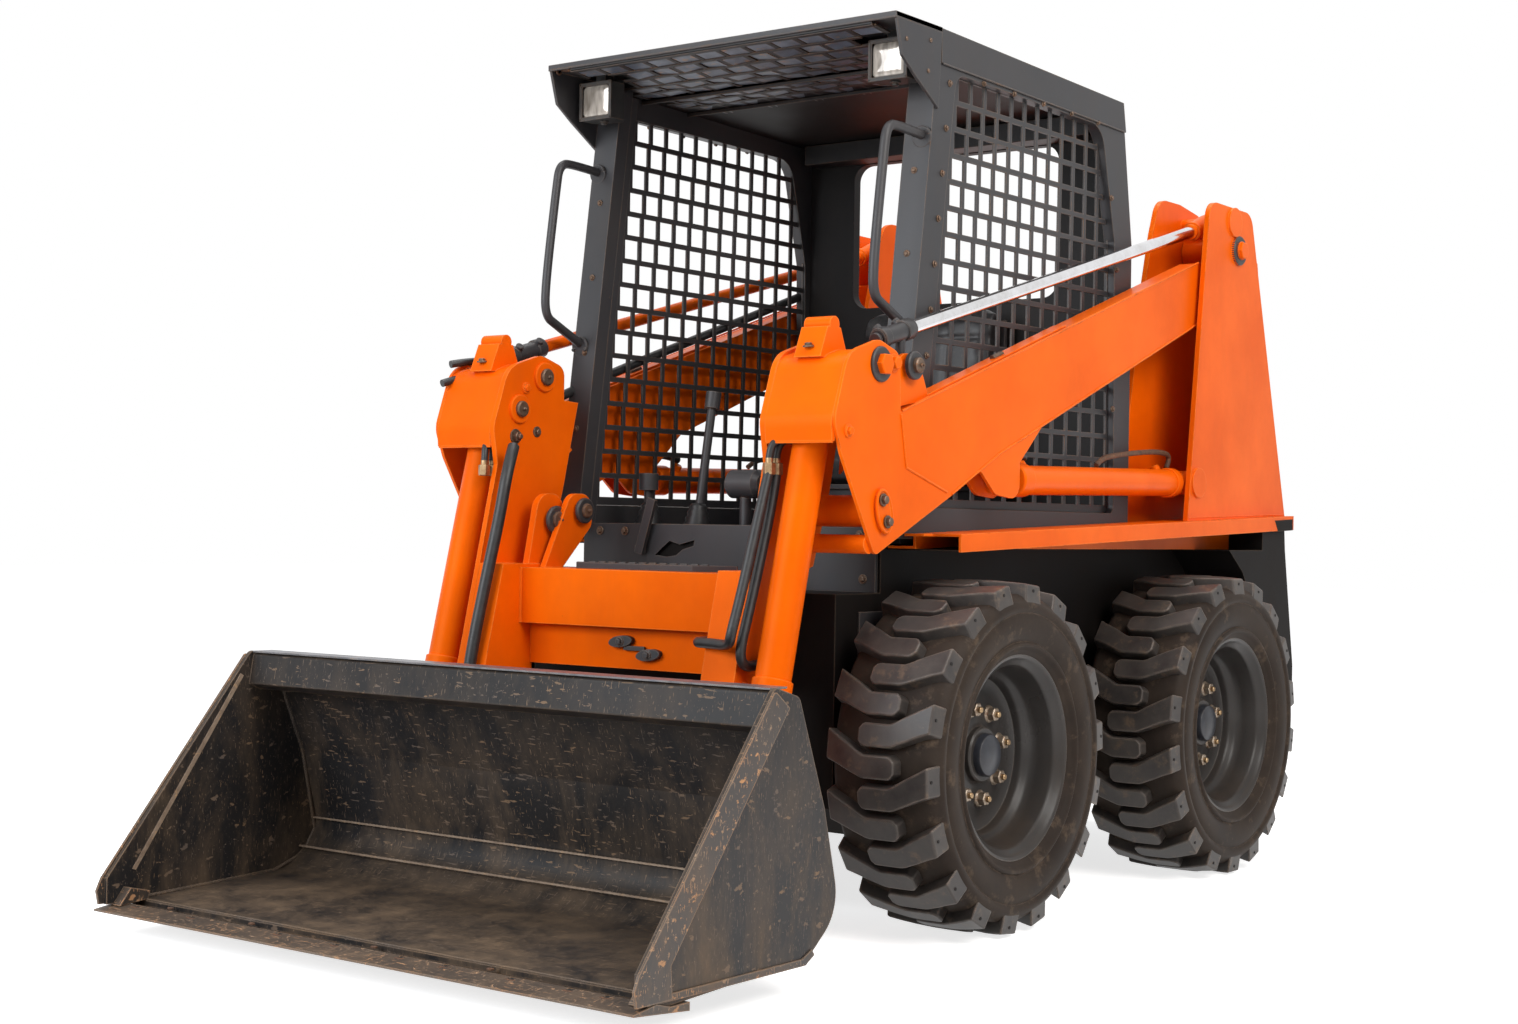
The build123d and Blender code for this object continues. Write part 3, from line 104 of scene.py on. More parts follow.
class Shape:
    """A mesh gathered piece by piece, in millimetres."""

    def __init__(self):
        self.points = []
        self.faces = []

    def skin(self, rings, capped=True, looped=False):
        """Faces between successive rings of points; looped joins the last ring to the first."""
        first, count, rows = len(self.points), len(rings[0]), len(rings)
        for ring in rings:
            self.points.extend(Vector(point) for point in ring)
        for row in range(rows if looped else rows - 1):
            here, there = first + row * count, first + (row + 1) % rows * count
            for k in range(count):
                after = (k + 1) % count
                self.faces.append((here + k, here + after, there + after, there + k))
        if capped and not looped:
            self.faces.append(tuple(range(first, first + count)))
            self.faces.append(tuple(range(first + (rows - 1) * count, first + rows * count)))
        return self

    def turned(self, rows, place, axis=OUT, sides=32, looped=False):
        """A round form: rows are (radius, distance along the axis)."""
        turn = facing(axis)
        rings = []
        for radius, along in rows:
            step = Vector((0, 0, along))
            rings.append([Vector(place) + turn @ (point + step) for point in circle(radius, sides, 0.5)])
        return self.skin(rings, looped=looped)

    def block(self, low, high):
        """A box given by two corners."""
        corners = [(low[0], low[1]), (high[0], low[1]), (high[0], high[1]), (low[0], high[1])]
        return self.skin([[(x, y, z) for x, y in corners] for z in (low[2], high[2])])

    def side_plate(self, outline, x_from, x_to):
        """A side-view outline of (station, height) points between two x planes."""
        return self.skin([[(x, y, z) for y, z in outline] for x in (x_from, x_to)])

    def front_plate(self, outline, from_station, to_station):
        """A front-view outline of (x, height) points between two stations."""
        return self.skin([[(x, y, z) for x, z in outline] for y in (from_station, to_station)])

    def swept(self, path, radii, sides):
        """Rounds of the given radii about successive points of a path."""
        last = len(path) - 1
        rings = []
        for k, (point, radius) in enumerate(zip(path, radii)):
            turn = facing(path[min(k + 1, last)] - path[max(k - 1, 0)])
            rings.append([point + turn @ spot for spot in circle(radius, sides)])
        return self.skin(rings)

    def tube(self, path, radius, sides=10):
        """A round bar through the points of a path."""
        return self.swept([Vector(point) for point in path], [radius] * len(path), sides)

    def bolt(self, place, axis, size=9, height=8, washer=0, stud=0):
        """A hexagon head on a surface, with a washer under it and a stud's end through it."""
        if washer:
            self.turned([(washer, -1), (washer, 2), (washer - 1, 3)], place, axis, 24)
        base = 3 if washer else 0
        rows = [(size, -1), (size, base + height - 1.5), (size - 1.8, base + height)]
        self.turned(rows, place, axis, 6)
        if stud:
            top = base + height + stud
            self.turned([(size * 0.55, 0), (size * 0.55, top - 2), (size * 0.4, top)], place, axis, 14)
        return self

    def pin_end(self, place, axis, radius, proud):
        """A round pin's chamfered end with a grease nipple in its middle."""
        rows = [(radius, -1), (radius, proud - 3), (radius - 3, proud), (radius * 0.3, proud)]
        self.turned(rows, place, axis, 40)
        nipple = [(4.5, proud - 1), (4.5, proud + 3), (2.6, proud + 4), (3.2, proud + 8), (1.6, proud + 9)]
        return self.turned(nipple, place, axis, 12)

    def bead(self, path, width=5, sides=8):
        """A weld bead: a low rounded ridge with a ripple along a path."""
        path = [Vector(point) for point in path]
        fine = []
        for start, end in zip(path, path[1:]):
            steps = max(2, int((end - start).length / BEAD_STEP))
            fine += [start.lerp(end, k / steps) for k in range(steps)]
        fine.append(path[-1])
        return self.swept(fine, [width * (1 + BEAD_RIPPLE * (-1) ** k) for k in range(len(fine))], sides)

    def mirrored(self):
        """The same shape on the machine's other side."""
        other = Shape()
        other.points = [Vector((-p.x, p.y, p.z)) for p in self.points]
        other.faces = list(self.faces)
        return other

    def both_sides(self):
        """Adds the mirror image to this shape."""
        first = len(self.points)
        self.points += self.mirrored().points
        self.faces += [tuple(first + k for k in face) for face in self.faces]
        return self


def new_object(name, data):
    """Puts new data into the scene."""
    obj = bpy.data.objects.new(name, data)
    bpy.context.scene.collection.objects.link(obj)
    return obj


def new_mesh(name, shape):
    """A shape as a mesh in metres, with its faces turned outwards."""
    mesh = bpy.data.meshes.new(name)
    mesh.from_pydata([at(point) for point in shape.points], [], shape.faces)
    work = bmesh.new()
    work.from_mesh(mesh)
    bmesh.ops.recalc_face_normals(work, faces=work.faces)
    work.to_mesh(mesh)
    work.free()
    return mesh


# Slot names by body, which piece() looks up for a piece that names no slot.
BODY_SLOTS = {
    "chassis": "black_paint",
    "loader_arm": "orange_paint",
    "rear_door": "orange_paint",
    "bucket": "bucket_steel",
}


def piece(name, shape, finish, body="chassis", bevel=1.2, sharp=35, replaces=(), slot=None):
    """Makes a shape into a scene object that rides on a CAD body."""
    mesh = new_mesh(name, shape)
    mesh.shade_smooth()
    mesh.set_sharp_from_angle(angle=math.radians(sharp))
    mesh.materials.append(finish)
    obj = new_object(name, mesh)
    if bevel:
        rounding = obj.modifiers.new("rounding", "BEVEL")
        rounding.width = bevel / 1000
        rounding.segments = 2
        rounding.limit_method = "ANGLE"
        rounding.angle_limit = math.radians(sharp)
        rounding.harden_normals = True
    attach(obj, body)
    if replaces:
        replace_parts(obj, *replaces)
    slot = slot or BODY_SLOTS[body]
    return obj


def pipe(name, points, radius, finish, body):
    """A smooth hose or bent pipe through control points."""
    data = bpy.data.curves.new(name, "CURVE")
    data.dimensions = "3D"
    data.bevel_depth = radius / 1000
    data.bevel_resolution = 4
    data.resolution_u = 12
    data.use_fill_caps = True
    spline = data.splines.new("NURBS")
    spline.points.add(len(points) - 1)
    for control, point in zip(spline.points, points):
        control.co = (*at(point), 1)
    spline.order_u = 3
    spline.use_endpoint_u = True
    data.materials.append(finish)
    obj = new_object(name, data)
    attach(obj, body)
    return obj


def sided(points, side):
    """Points of the left-hand side on the side that is asked for: 1 is left and -1 is right."""
    return [(side * x, station, height) for x, station, height in points]


# ---- material helpers
def node(tree, kind, **values):
    """Adds a node; keys with a leading underscore set attributes, the rest set inputs."""
    n = tree.nodes.new(kind)
    for key, value in values.items():
        if key.startswith("_"):
            setattr(n, key[1:], value)
        else:
            n.inputs[key.replace("_", " ")].default_value = value
    return n


def link(tree, a, out, b, inp):
    tree.links.new(a.outputs[out], b.inputs[inp])


def ramp(tree, source, out, low, high):
    """0 below low, 1 above high, and straight between them."""
    r = tree.nodes.new("ShaderNodeMapRange")
    r.inputs["From Min"].default_value = low
    r.inputs["From Max"].default_value = high
    tree.links.new(source.outputs[out], r.inputs["Value"])
    return r, "Result"


def noise(
    tree, coordinates, scale, detail=4, roughness=0.6, distortion=0.0, stretch=None, turn=(0, 0, 0),
):
    """Noise over the object; stretch and turn draw it out into streaks."""
    n = node(tree, "ShaderNodeTexNoise", Scale=scale, Detail=detail, Roughness=roughness)
    n.inputs["Distortion"].default_value = distortion
    if stretch:
        m = node(tree, "ShaderNodeMapping")
        m.inputs["Scale"].default_value = stretch
        m.inputs["Rotation"].default_value = turn
        link(tree, coordinates, "Object", m, "Vector")
        link(tree, m, "Vector", n, "Vector")
    else:
        link(tree, coordinates, "Object", n, "Vector")
    return n


def mix(tree, fac, a, b):
    """Colour mix; fac is (node, output), a and b are colours or (node, output)."""
    m = tree.nodes.new("ShaderNodeMix")
    m.data_type = "RGBA"
    tree.links.new(fac[0].outputs[fac[1]], m.inputs[0])
    for i, v in ((6, a), (7, b)):
        if isinstance(v[0], (int, float)):
            m.inputs[i].default_value = (*v[:3], 1)
        else:
            tree.links.new(v[0].outputs[v[1]], m.inputs[i])
    return m, 2


def maths(tree, op, a, b=None, clamp=False):
    m = tree.nodes.new("ShaderNodeMath")
    m.operation = op
    m.use_clamp = clamp
    for i, v in enumerate((a, b)):
        if v is None:
            continue
        if isinstance(v, (int, float)):
            m.inputs[i].default_value = v
        else:
            tree.links.new(v[0].outputs[v[1]], m.inputs[i])
    return m, 0


def edge_mask(tree, radius):
    """1 on edges that a round of that radius would take off."""
    bevel = node(tree, "ShaderNodeBevel", _samples=4, Radius=radius)
    geometry = node(tree, "ShaderNodeNewGeometry")
    dot = tree.nodes.new("ShaderNodeVectorMath")
    dot.operation = "DOT_PRODUCT"
    link(tree, bevel, "Normal", dot, 0)
    link(tree, geometry, "Normal", dot, 1)
    return maths(tree, "MULTIPLY", maths(tree, "SUBTRACT", 1.0, (dot, "Value")), 3.2, clamp=True)


def facing_up(tree):
    """1 on faces that look up, where dust settles."""
    geometry = node(tree, "ShaderNodeNewGeometry")
    split = node(tree, "ShaderNodeSeparateXYZ")
    link(tree, geometry, "True Normal", split, 0)
    return ramp(tree, split, "Z", 0.35, 0.95)


def material(name, metallic=0.0, coat=0.0, gloss=0.5):
    m = bpy.data.materials.new(name)
    m.use_nodes = True
    tree = m.node_tree
    shader = tree.nodes["Principled BSDF"]
    shader.inputs["Metallic"].default_value = metallic
    shader.inputs["Coat Weight"].default_value = coat
    shader.inputs["Specular IOR Level"].default_value = gloss
    coordinates = tree.nodes.new("ShaderNodeTexCoord")
    return m, tree, shader, coordinates


def paint(
    name, base, shade, chip, bare_metal, rough=0.38, chips=0.62, edge_wear=0.42, dirt=0.5,
    dirt_colour=(0.09, 0.055, 0.03), low=0.5, dust=0.0, scratches=0.0, gloss=0.35, worn_and_lit_edge=None,
    grain=42.0, sheen=(1.0, 1.0, 1.0),
):
    """Worn paint.

    Two close shades, a third colour on the edges (wear on some finishes, painted highlight on
    others), chips at edges and in spots, streaks of dirt that thicken below the height low, dust
    on top, and fine scratches.
    """
    m, t, s, c = material(name, gloss=gloss)
    s.inputs["Specular Tint"].default_value = (*sheen, 1)
    tone = noise(t, c, 3.0, 5, 0.6)
    colour = mix(t, ramp(t, tone, "Fac", 0.3, 0.72), base, shade)
    # The edge colour is wear on some finishes and painted highlight on others.
    if worn_and_lit_edge:
        colour = mix(t, maths(t, "MULTIPLY", edge_mask(t, 0.005), 0.75), colour, worn_and_lit_edge)
    spots = ramp(t, noise(t, c, grain, 6, 0.72), "Fac", chips, chips + 0.035)
    patches = ramp(t, noise(t, c, 30.0, 5, 0.7), "Fac", edge_wear, edge_wear + 0.2)
    ragged = maths(t, "MULTIPLY", edge_mask(t, 0.004), patches)
    bare = maths(t, "MAXIMUM", spots, ragged, clamp=True)
    if scratches:
        first = noise(t, c, grain * 0.7, 3, 0.5, 0.0, (0.5, 7.0, 1.2), (0.6, 0.5, 0.4))
        second = noise(t, c, grain * 0.65, 3, 0.5, 0.0, (6.0, 0.6, 1.0), (0.9, 0, 0.8))
        lines = maths(t, "MAXIMUM", ramp(t, first, "Fac", 0.64, 0.67), ramp(t, second, "Fac", 0.65, 0.68))
        scraped = maths(t, "MULTIPLY", lines, scratches)
        bare = maths(t, "MAXIMUM", bare, scraped, clamp=True)
    worn = mix(t, ramp(t, noise(t, c, 11.0, 3), "Fac", 0.4, 0.6), chip, bare_metal)
    colour = mix(t, bare, colour, worn)
    height = node(t, "ShaderNodeSeparateXYZ")
    link(t, c, "Object", height, 0)
    down = maths(t, "SUBTRACT", 1.0, maths(t, "DIVIDE", (height, "Z"), low), clamp=True)
    streaks = ramp(t, noise(t, c, 9.0, 6, 0.7, 0.4, (1.0, 1.0, 0.35)), "Fac", 0.42, 0.75)
    grime = maths(t, "MULTIPLY", maths(t, "ADD", down, 0.25), streaks)
    grime = maths(t, "MULTIPLY", grime, dirt, clamp=True)
    if dust:
        settled = maths(t, "MULTIPLY", facing_up(t), ramp(t, noise(t, c, 7.0, 6, 0.7), "Fac", 0.35, 0.7))
        grime = maths(t, "MAXIMUM", grime, maths(t, "MULTIPLY", settled, dust), clamp=True)
    colour = mix(t, grime, colour, dirt_colour)
    link(t, *colour, s, "Base Color")
    r = maths(t, "ADD", maths(t, "MULTIPLY", (tone, "Fac"), 0.22), rough - 0.1)
    dull = maths(t, "MULTIPLY", maths(t, "MAXIMUM", bare, grime), 0.35)
    link(t, *maths(t, "ADD", r, dull, clamp=True), s, "Roughness")
    bump = node(t, "ShaderNodeBump", Strength=0.35, Distance=0.0006)
    peel = maths(t, "MULTIPLY", (noise(t, c, 120.0, 3), "Fac"), 0.25)
    relief = maths(t, "SUBTRACT", peel, bare)
    link(t, *relief, bump, "Height")
    round_edge = node(t, "ShaderNodeBevel", _samples=4, Radius=0.0022)
    link(t, round_edge, "Normal", bump, "Normal")
    link(t, bump, "Normal", s, "Normal")
    return m


def simple(
    name, a, b, rough, metallic=0.0, scale=20.0, relief=0.0004, spots=None, edges=None, coat=0.0,
    gloss=0.35, edge_size=0.005,
):
    """Two mottled colours; spots and edges are colours of stains and of edges, wear on some finishes and
    painted highlight on others.
    """
    m, t, s, c = material(name, metallic, coat, gloss)
    n = noise(t, c, scale, 6, 0.65)
    colour = mix(t, ramp(t, n, "Fac", 0.35, 0.68), a, b)
    if spots:
        colour = mix(t, ramp(t, noise(t, c, scale * 2.3, 5, 0.7), "Fac", 0.56, 0.68), colour, spots)
    if edges:
        ragged = ramp(t, noise(t, c, 40.0, 4, 0.7), "Fac", 0.3, 0.6)
        # The edge colour is wear on some finishes and painted highlight on others.
        worn_and_lit_edge = maths(t, "MULTIPLY", edge_mask(t, edge_size), ragged)
        colour = mix(t, worn_and_lit_edge, colour, edges)
    link(t, *colour, s, "Base Color")
    link(t, *maths(t, "ADD", maths(t, "MULTIPLY", (n, "Fac"), 0.2), rough - 0.1), s, "Roughness")
    bump = node(t, "ShaderNodeBump", Strength=0.5, Distance=relief)
    link(t, n, "Fac", bump, "Height")
    link(t, bump, "Normal", s, "Normal")
    return m


RUST = (0.2, 0.085, 0.035)
# The lighter orange on its edges is painted highlight.
ORANGE = paint(
    "orange_paint", (0.9, 0.134, 0.001), (0.72, 0.092, 0.001), (0.16, 0.055, 0.02), (0.03, 0.02, 0.016),
    rough=0.34, chips=0.71, edge_wear=0.5, dirt=0.34, gloss=0.16, worn_and_lit_edge=(1.0, 0.28, 0.05),
    sheen=(1.0, 0.45, 0.12),
)
# The light brown-grey on its edges is painted highlight.
BLACK = paint(
    "black_paint", (0.024, 0.024, 0.027), (0.038, 0.037, 0.04), (0.22, 0.11, 0.045), (0.1, 0.09, 0.085),
    rough=0.42, chips=0.7, edge_wear=0.42, dirt=0.45, dust=0.12, worn_and_lit_edge=(0.15, 0.12, 0.1),
)
# Black paint kept far darker than the body's black paint: painted shade under the machine.
HULL_SHADE = paint(
    "hull_painted_shade", (0.006, 0.005, 0.005), (0.01, 0.008, 0.007), (0.12, 0.07, 0.04), (0.06, 0.045, 0.035),
    rough=0.55, chips=0.73, edge_wear=0.5, dirt=0.55, dirt_colour=(0.03, 0.02, 0.014), low=0.7, gloss=0.08,
    worn_and_lit_edge=(0.1, 0.075, 0.055),
)
# Near-black for the inside of the cab: painted shade inside the cab.
CAB_SHADE = paint(
    "cab_painted_shade", (0.009, 0.008, 0.008), (0.015, 0.013, 0.013), (0.1, 0.06, 0.035), (0.05, 0.04, 0.035),
    rough=0.5, chips=0.72, edge_wear=0.5, dirt=0.2, gloss=0.15,
)
BUCKET = paint(
    "bucket_steel", (0.02, 0.019, 0.02), (0.012, 0.011, 0.011), (0.34, 0.21, 0.12), (0.2, 0.15, 0.12),
    rough=0.34, chips=0.648, edge_wear=0.28, dirt=0.62, dirt_colour=(0.15, 0.1, 0.062), low=0.62,
    dust=0.85, scratches=0.45, gloss=0.2, worn_and_lit_edge=(0.2, 0.15, 0.11), grain=88.0,
)
EDGE = paint(
    "worn_edge", (0.046, 0.037, 0.032), (0.026, 0.022, 0.02), (0.44, 0.22, 0.1), (0.3, 0.2, 0.13),
    rough=0.36, chips=0.6, edge_wear=0.18, dirt=0.55, dirt_colour=(0.17, 0.105, 0.06), low=0.4,
    dust=0.45, scratches=1.0, worn_and_lit_edge=(0.34, 0.25, 0.18), grain=70.0,
)
# The pale colour on its edges is painted highlight.
RIM = paint(
    "rim_paint", (0.042, 0.038, 0.036), (0.024, 0.022, 0.021), (0.15, 0.1, 0.06), (0.08, 0.06, 0.045),
    rough=0.28, chips=0.71, edge_wear=0.45, dirt=0.42, dirt_colour=(0.06, 0.04, 0.027), low=0.5, dust=0.7,
    gloss=0.2, worn_and_lit_edge=(0.26, 0.22, 0.19),
)
# The light brown on the lugs' edges is painted highlight.
TREAD = simple(
    "tyre_tread", (0.03, 0.026, 0.025), (0.062, 0.053, 0.047), 0.42, scale=11.0,
    spots=(0.098, 0.07, 0.05), edges=(0.33, 0.24, 0.18), gloss=0.3, edge_size=0.008,
)
SIDEWALL = simple(
    "tyre_rubber", (0.024, 0.018, 0.015), (0.042, 0.031, 0.024), 0.5, scale=7.0,
    spots=(0.078, 0.055, 0.039), edges=(0.15, 0.11, 0.085), gloss=0.06, edge_size=0.007,
)
CHROME = simple("chrome_rod", (0.8, 0.8, 0.82), (0.66, 0.65, 0.65), 0.12, 1.0, scale=16.0, relief=0.0001)
CAST = simple("cast_engine", (0.05, 0.05, 0.05), (0.08, 0.07, 0.06), 0.6)
VINYL = simple(
    "seat_vinyl", (0.015, 0.014, 0.015), (0.026, 0.024, 0.024), 0.42, scale=70.0,
    spots=(0.05, 0.04, 0.035),
)
STEEL = simple(
    "worn_steel", (0.15, 0.115, 0.09), (0.085, 0.06, 0.045), 0.48, 0.35, scale=24.0,
    spots=(0.26, 0.15, 0.09), edges=(0.34, 0.3, 0.27),
)
TAN = simple(
    "tan_wear", (0.36, 0.27, 0.2), (0.2, 0.14, 0.1), 0.42, 0.2, scale=26.0,
    spots=(0.44, 0.28, 0.16),
)
LIP = simple(
    "lip_steel", (0.115, 0.12, 0.14), (0.06, 0.06, 0.068), 0.32, 0.3, scale=18.0,
    spots=(0.22, 0.15, 0.1), edges=(0.34, 0.3, 0.27),
)
LAMP = simple("lamp_housing", (0.018, 0.018, 0.018), (0.032, 0.03, 0.028), 0.5, edges=(0.12, 0.07, 0.04))
HOSE = simple("black_rubber", (0.014, 0.014, 0.015), (0.026, 0.025, 0.025), 0.4, scale=60.0)
BRASS = simple("plated_nut", (0.42, 0.29, 0.16), (0.24, 0.15, 0.08), 0.36, 0.8, scale=60.0, spots=RUST)
NUT = simple(
    "wheel_nut", (0.34, 0.28, 0.22), (0.18, 0.13, 0.09), 0.38, 0.55, scale=60.0,
    spots=(0.24, 0.12, 0.06),
)
ZINC = simple("plain_bolt", (0.16, 0.11, 0.08), (0.09, 0.055, 0.035), 0.45, 0.6, scale=70.0, spots=RUST)
RUSTY = simple(
    "rusty_steel", (0.115, 0.055, 0.03), (0.06, 0.035, 0.024), 0.68, scale=50.0,
    spots=(0.26, 0.11, 0.04),
)
# Light blue-grey: painted reflection of the sky, lighter than the plate where little light reaches; the
# orange on its edges is rust with painted highlight, the spots are rust.
CEILING_SKY_REFLECTION = simple(
    "ceiling_painted_sky_reflection", (0.15, 0.18, 0.235), (0.062, 0.072, 0.096), 0.34, 0.2, scale=14.0,
    spots=(0.34, 0.17, 0.07), edges=(0.4, 0.21, 0.09),
)
GRID = simple("ceiling_bars", (0.012, 0.011, 0.012), (0.02, 0.018, 0.018), 0.5, edges=(0.16, 0.08, 0.035))
HUB = simple(
    "hub_cap", (0.03, 0.033, 0.042), (0.018, 0.018, 0.022), 0.34, scale=30.0,
    edges=(0.16, 0.13, 0.11),
)
RED_LENS = simple("tail_lens", (0.3, 0.01, 0.008), (0.2, 0.006, 0.006), 0.2, scale=30.0, coat=0.5)
# Near-black discs drawn where holes are: painted shade of the holes' depth.
HOLE_SHADE = simple("hole_painted_shade", (0.006, 0.005, 0.005), (0.012, 0.01, 0.009), 0.8)


def lens_material():
    """Ribbed lamp glass, opaque, its light colour a painted reflection of the reflector behind it."""
    m, t, s, c = material("lamp_lens", 0.0, 0.6)
    ribs = noise(t, c, 55.0, 2, 0.5, 0.0, (1.0, 1.0, 0.25))
    colour = mix(t, ramp(t, ribs, "Fac", 0.35, 0.7), (0.2, 0.17, 0.14), (0.5, 0.44, 0.38))
    link(t, *colour, s, "Base Color")
    s.inputs["Roughness"].default_value = 0.14
    s.inputs["Metallic"].default_value = 0.25
    bump = node(t, "ShaderNodeBump", Strength=0.5, Distance=0.001)
    link(t, ribs, "Fac", bump, "Height")
    link(t, bump, "Normal", s, "Normal")
    return m


LENS = lens_material()
BY_SLOT = {
    "orange_paint": ORANGE,
    "black_paint": BLACK,
    "bucket_steel": BUCKET,
    "rim_paint": RIM,
    "tyre_rubber": SIDEWALL,
    "black_rubber": HOSE,
    "chrome_rod": CHROME,
    "cast_engine": CAST,
    "seat_vinyl": VINYL,
    "worn_steel": EDGE,
    "lamp_housing": LAMP,
}
UNDERBODY = ("chassis_hull", "axle_stubs", "rear_corner_left", "rear_corner_right", "rear_bumper")
# The cab's rear, roof and floor take the near-black as painted shade.
SHADED_CAB_NODES = ("cab_rear", "cab_roof", "cab_floor")
for part in frame["record"]["subparts"]:
    finish = BY_SLOT[part["material_slot"]]
    # Underbody parts take the darker black as painted shade.
    if part["node"] in UNDERBODY:
        finish = HULL_SHADE
    if part["node"] in SHADED_CAB_NODES:
        finish = CAB_SHADE
    cad = nodes[part["node"]]
    cad.data.materials.clear()
    cad.data.materials.append(finish)


# ---- wheels
LUGS_PER_SIDE = 18
LUG_FOOT = 345.0          # radius at which a lug's walls are buried in the carcass
WHEELS = [
    (f"{end}_{side_name}", side, station)
    for end, station in (("front", 0.0), ("rear", WHEELBASE))
    for side_name, side in SIDES
]
# Carcass section from the outer bead over the tread to the middle: (across, radius).
CARCASS = [
    (104, 216), (113, 222), (121, 232), (124, 238), (131, 242), (133, 247), (131, 251), (126, 254),
    (130, 262), (134, 280), (135, 300), (133, 312), (130.5, 317), (135.6, 323), (135.6, 334), (131, 341),
    (124, 350), (112, 357), (60, 360),
]
# Lug sections from its inner tip to the shoulder: (across, upper edge, lower edge) on the tread.
LUG_SECTIONS = [
    (-46, -12, 12), (-37, -23, 23), (-31, -25, 25), (0, -25, 25), (30, -25, 25), (40, -29, 23),
    (70, -46, 11), (100, -62, -2), (126, -77, -11),
]
# The end sections' feet lean outwards, and the shoulder's foot lies deeper: (lean, sink) by across.
FOOT_SHIFTS = {-46: (-6, 0), 126: (7, 14)}
TREAD_HALF_WIDTH = 132
CROWN_DROP = 6            # how much lower the tread is at its shoulder than in its middle
REAR_TURN = 0.31          # the rear tyres' turn against the front ones, in pitches


def tyre(corner, side, station):
    """Carcass with ribbed sidewalls, and two rows of chevron lugs whose inner ends interlock."""
    centre = (side * TYRE_CENTRE_X, station, AXLE_HEIGHT)
    lug_pitch = 2 * math.pi / LUGS_PER_SIDE

    def on_tread(across, along, radius, turn):
        angle = along / TYRE_RADIUS + turn
        return (
            side * (TYRE_CENTRE_X + across),
            station - radius * math.sin(angle),
            AXLE_HEIGHT + radius * math.cos(angle),
        )

    def lug_turn(index, half):
        return lug_pitch * (index + (0 if half > 0 else 0.5) + (REAR_TURN if station else 0.0))

    carcass = Shape()
    profile = CARCASS + [(-across, radius) for across, radius in reversed(CARCASS)]
    carcass.turned([(radius, across) for across, radius in profile], centre, (side, 0, 0), 108, looped=True)
    piece(
        f"tyre_{corner}_carcass", carcass, SIDEWALL, f"wheel_{corner}", bevel=0, sharp=50,
        replaces=(f"tyre_{corner}",), slot="tyre_rubber",
    )
    lugs = Shape()
    for half in (1, -1):
        for index in range(LUGS_PER_SIDE):
            turn = lug_turn(index, half)
            # No two lugs wear alike: each stands a little lower or higher than its neighbour.
            wear = 1.6 * (0.5 + 0.5 * math.sin(index * 2.4 + half))
            rings = []
            for across, upper, lower in LUG_SECTIONS:
                crown = TYRE_RADIUS - CROWN_DROP * (across / TREAD_HALF_WIDTH) ** 2 - wear
                lean, sink = FOOT_SHIFTS.get(across, (0, 0))
                outline = [
                    (across + lean, upper - 6, LUG_FOOT - sink), (across, upper, crown),
                    (across, lower, crown), (across + lean, lower + 6, LUG_FOOT - sink),
                ]
                rings.append([on_tread(half * a, s, r, turn) for a, s, r in outline])
            lugs.skin(rings)
    piece(f"tyre_{corner}_lugs", lugs, TREAD, f"wheel_{corner}", bevel=4.2, sharp=40, slot="tyre_rubber")
    # Near-black discs on the lugs' shoulders: painted shade of pin holes.
    pins = Shape()
    for index in range(LUGS_PER_SIDE):
        for half in (1, -1):
            place = on_tread(half * 128.6, -44, 366, lug_turn(index, half))
            pins.turned([(3.6, -1), (3.6, 0.7), (2.4, 0.9)], place, (half * side, 0, 0), 12)
    piece(f"tyre_{corner}_pin_holes", pins, HOLE_SHADE, f"wheel_{corner}", bevel=0, slot="tyre_rubber")


# Rim section: (radius, across from the tyre's middle), from the hub's face out to the lip and back.
RIM_SECTION = [
    (0.5, 34), (58, 34), (62, 30), (62, 18), (66, 14), (70, 12), (100, 10), (120, 6), (140, 2), (160, 4),
    (172, 10), (174, 24), (178, 32), (186, 36), (190, 44), (196, 60), (199, 92), (203, 100), (212, 104),
    (216, 112), (221, 116), (226, 116), (226, 106), (213, 96), (206, 60), (206, -60), (213, -96),
    (226, -106), (226, -116), (218, -116), (212, -108), (196, -92), (184, -60), (180, -20), (168, -4),
    (150, -6), (0.5, -6),
]
NUTS = 8
NUT_CIRCLE = 102.0


def rim(corner, side, station):
    """Deep-dish rim with its stepped wall, hub cap, valve and wheel nuts."""
    def rim_piece(name, shape, finish, bevel, **more):
        piece(f"rim_{corner}_{name}", shape, finish, f"wheel_{corner}", bevel=bevel, slot="rim_paint", **more)

    centre = Vector((side * TYRE_CENTRE_X, station, AXLE_HEIGHT))
    outwards = Vector((side, 0, 0))
    cap = Shape().turned([(48, 32), (48, 44), (45, 50), (34, 54), (16, 57), (1, 58)], centre, outwards, 48)
    rim_piece("hub_cap", cap, HUB, 0.8)
    disc = Shape().turned(RIM_SECTION, centre, outwards, 96)
    rim_piece("disc", disc, RIM, 0.8, sharp=42, replaces=(f"rim_{corner}",))
    nuts, studs = Shape(), Shape()
    for index in range(NUTS):
        angle = 2 * math.pi * index / NUTS + 0.2
        ring = Vector((0, math.cos(angle), math.sin(angle)))
        place = centre + outwards * 9 + ring * NUT_CIRCLE
        nuts.turned([(20, -4), (20, 2), (17, 6)], place, outwards, 28)
        nuts.turned([(16, 4), (16, 20), (13.5, 22)], place, outwards, 6)
        studs.turned([(7.2, 18), (7.2, 28), (5.6, 30)], place, outwards, 16)
    rim_piece("nuts", nuts, NUT, 0.7)
    rim_piece("studs", studs, BRASS, 0.4)
    stem = centre + outwards * 52 + Vector((0, -150, 108))
    rows = [(6, -14), (6, 8), (4, 10), (4, 22), (5, 22), (5, 32), (3.6, 33)]
    rim_piece("valve", Shape().turned(rows, stem, (side, 0.35, -0.25), 14), HOSE, 0.4)


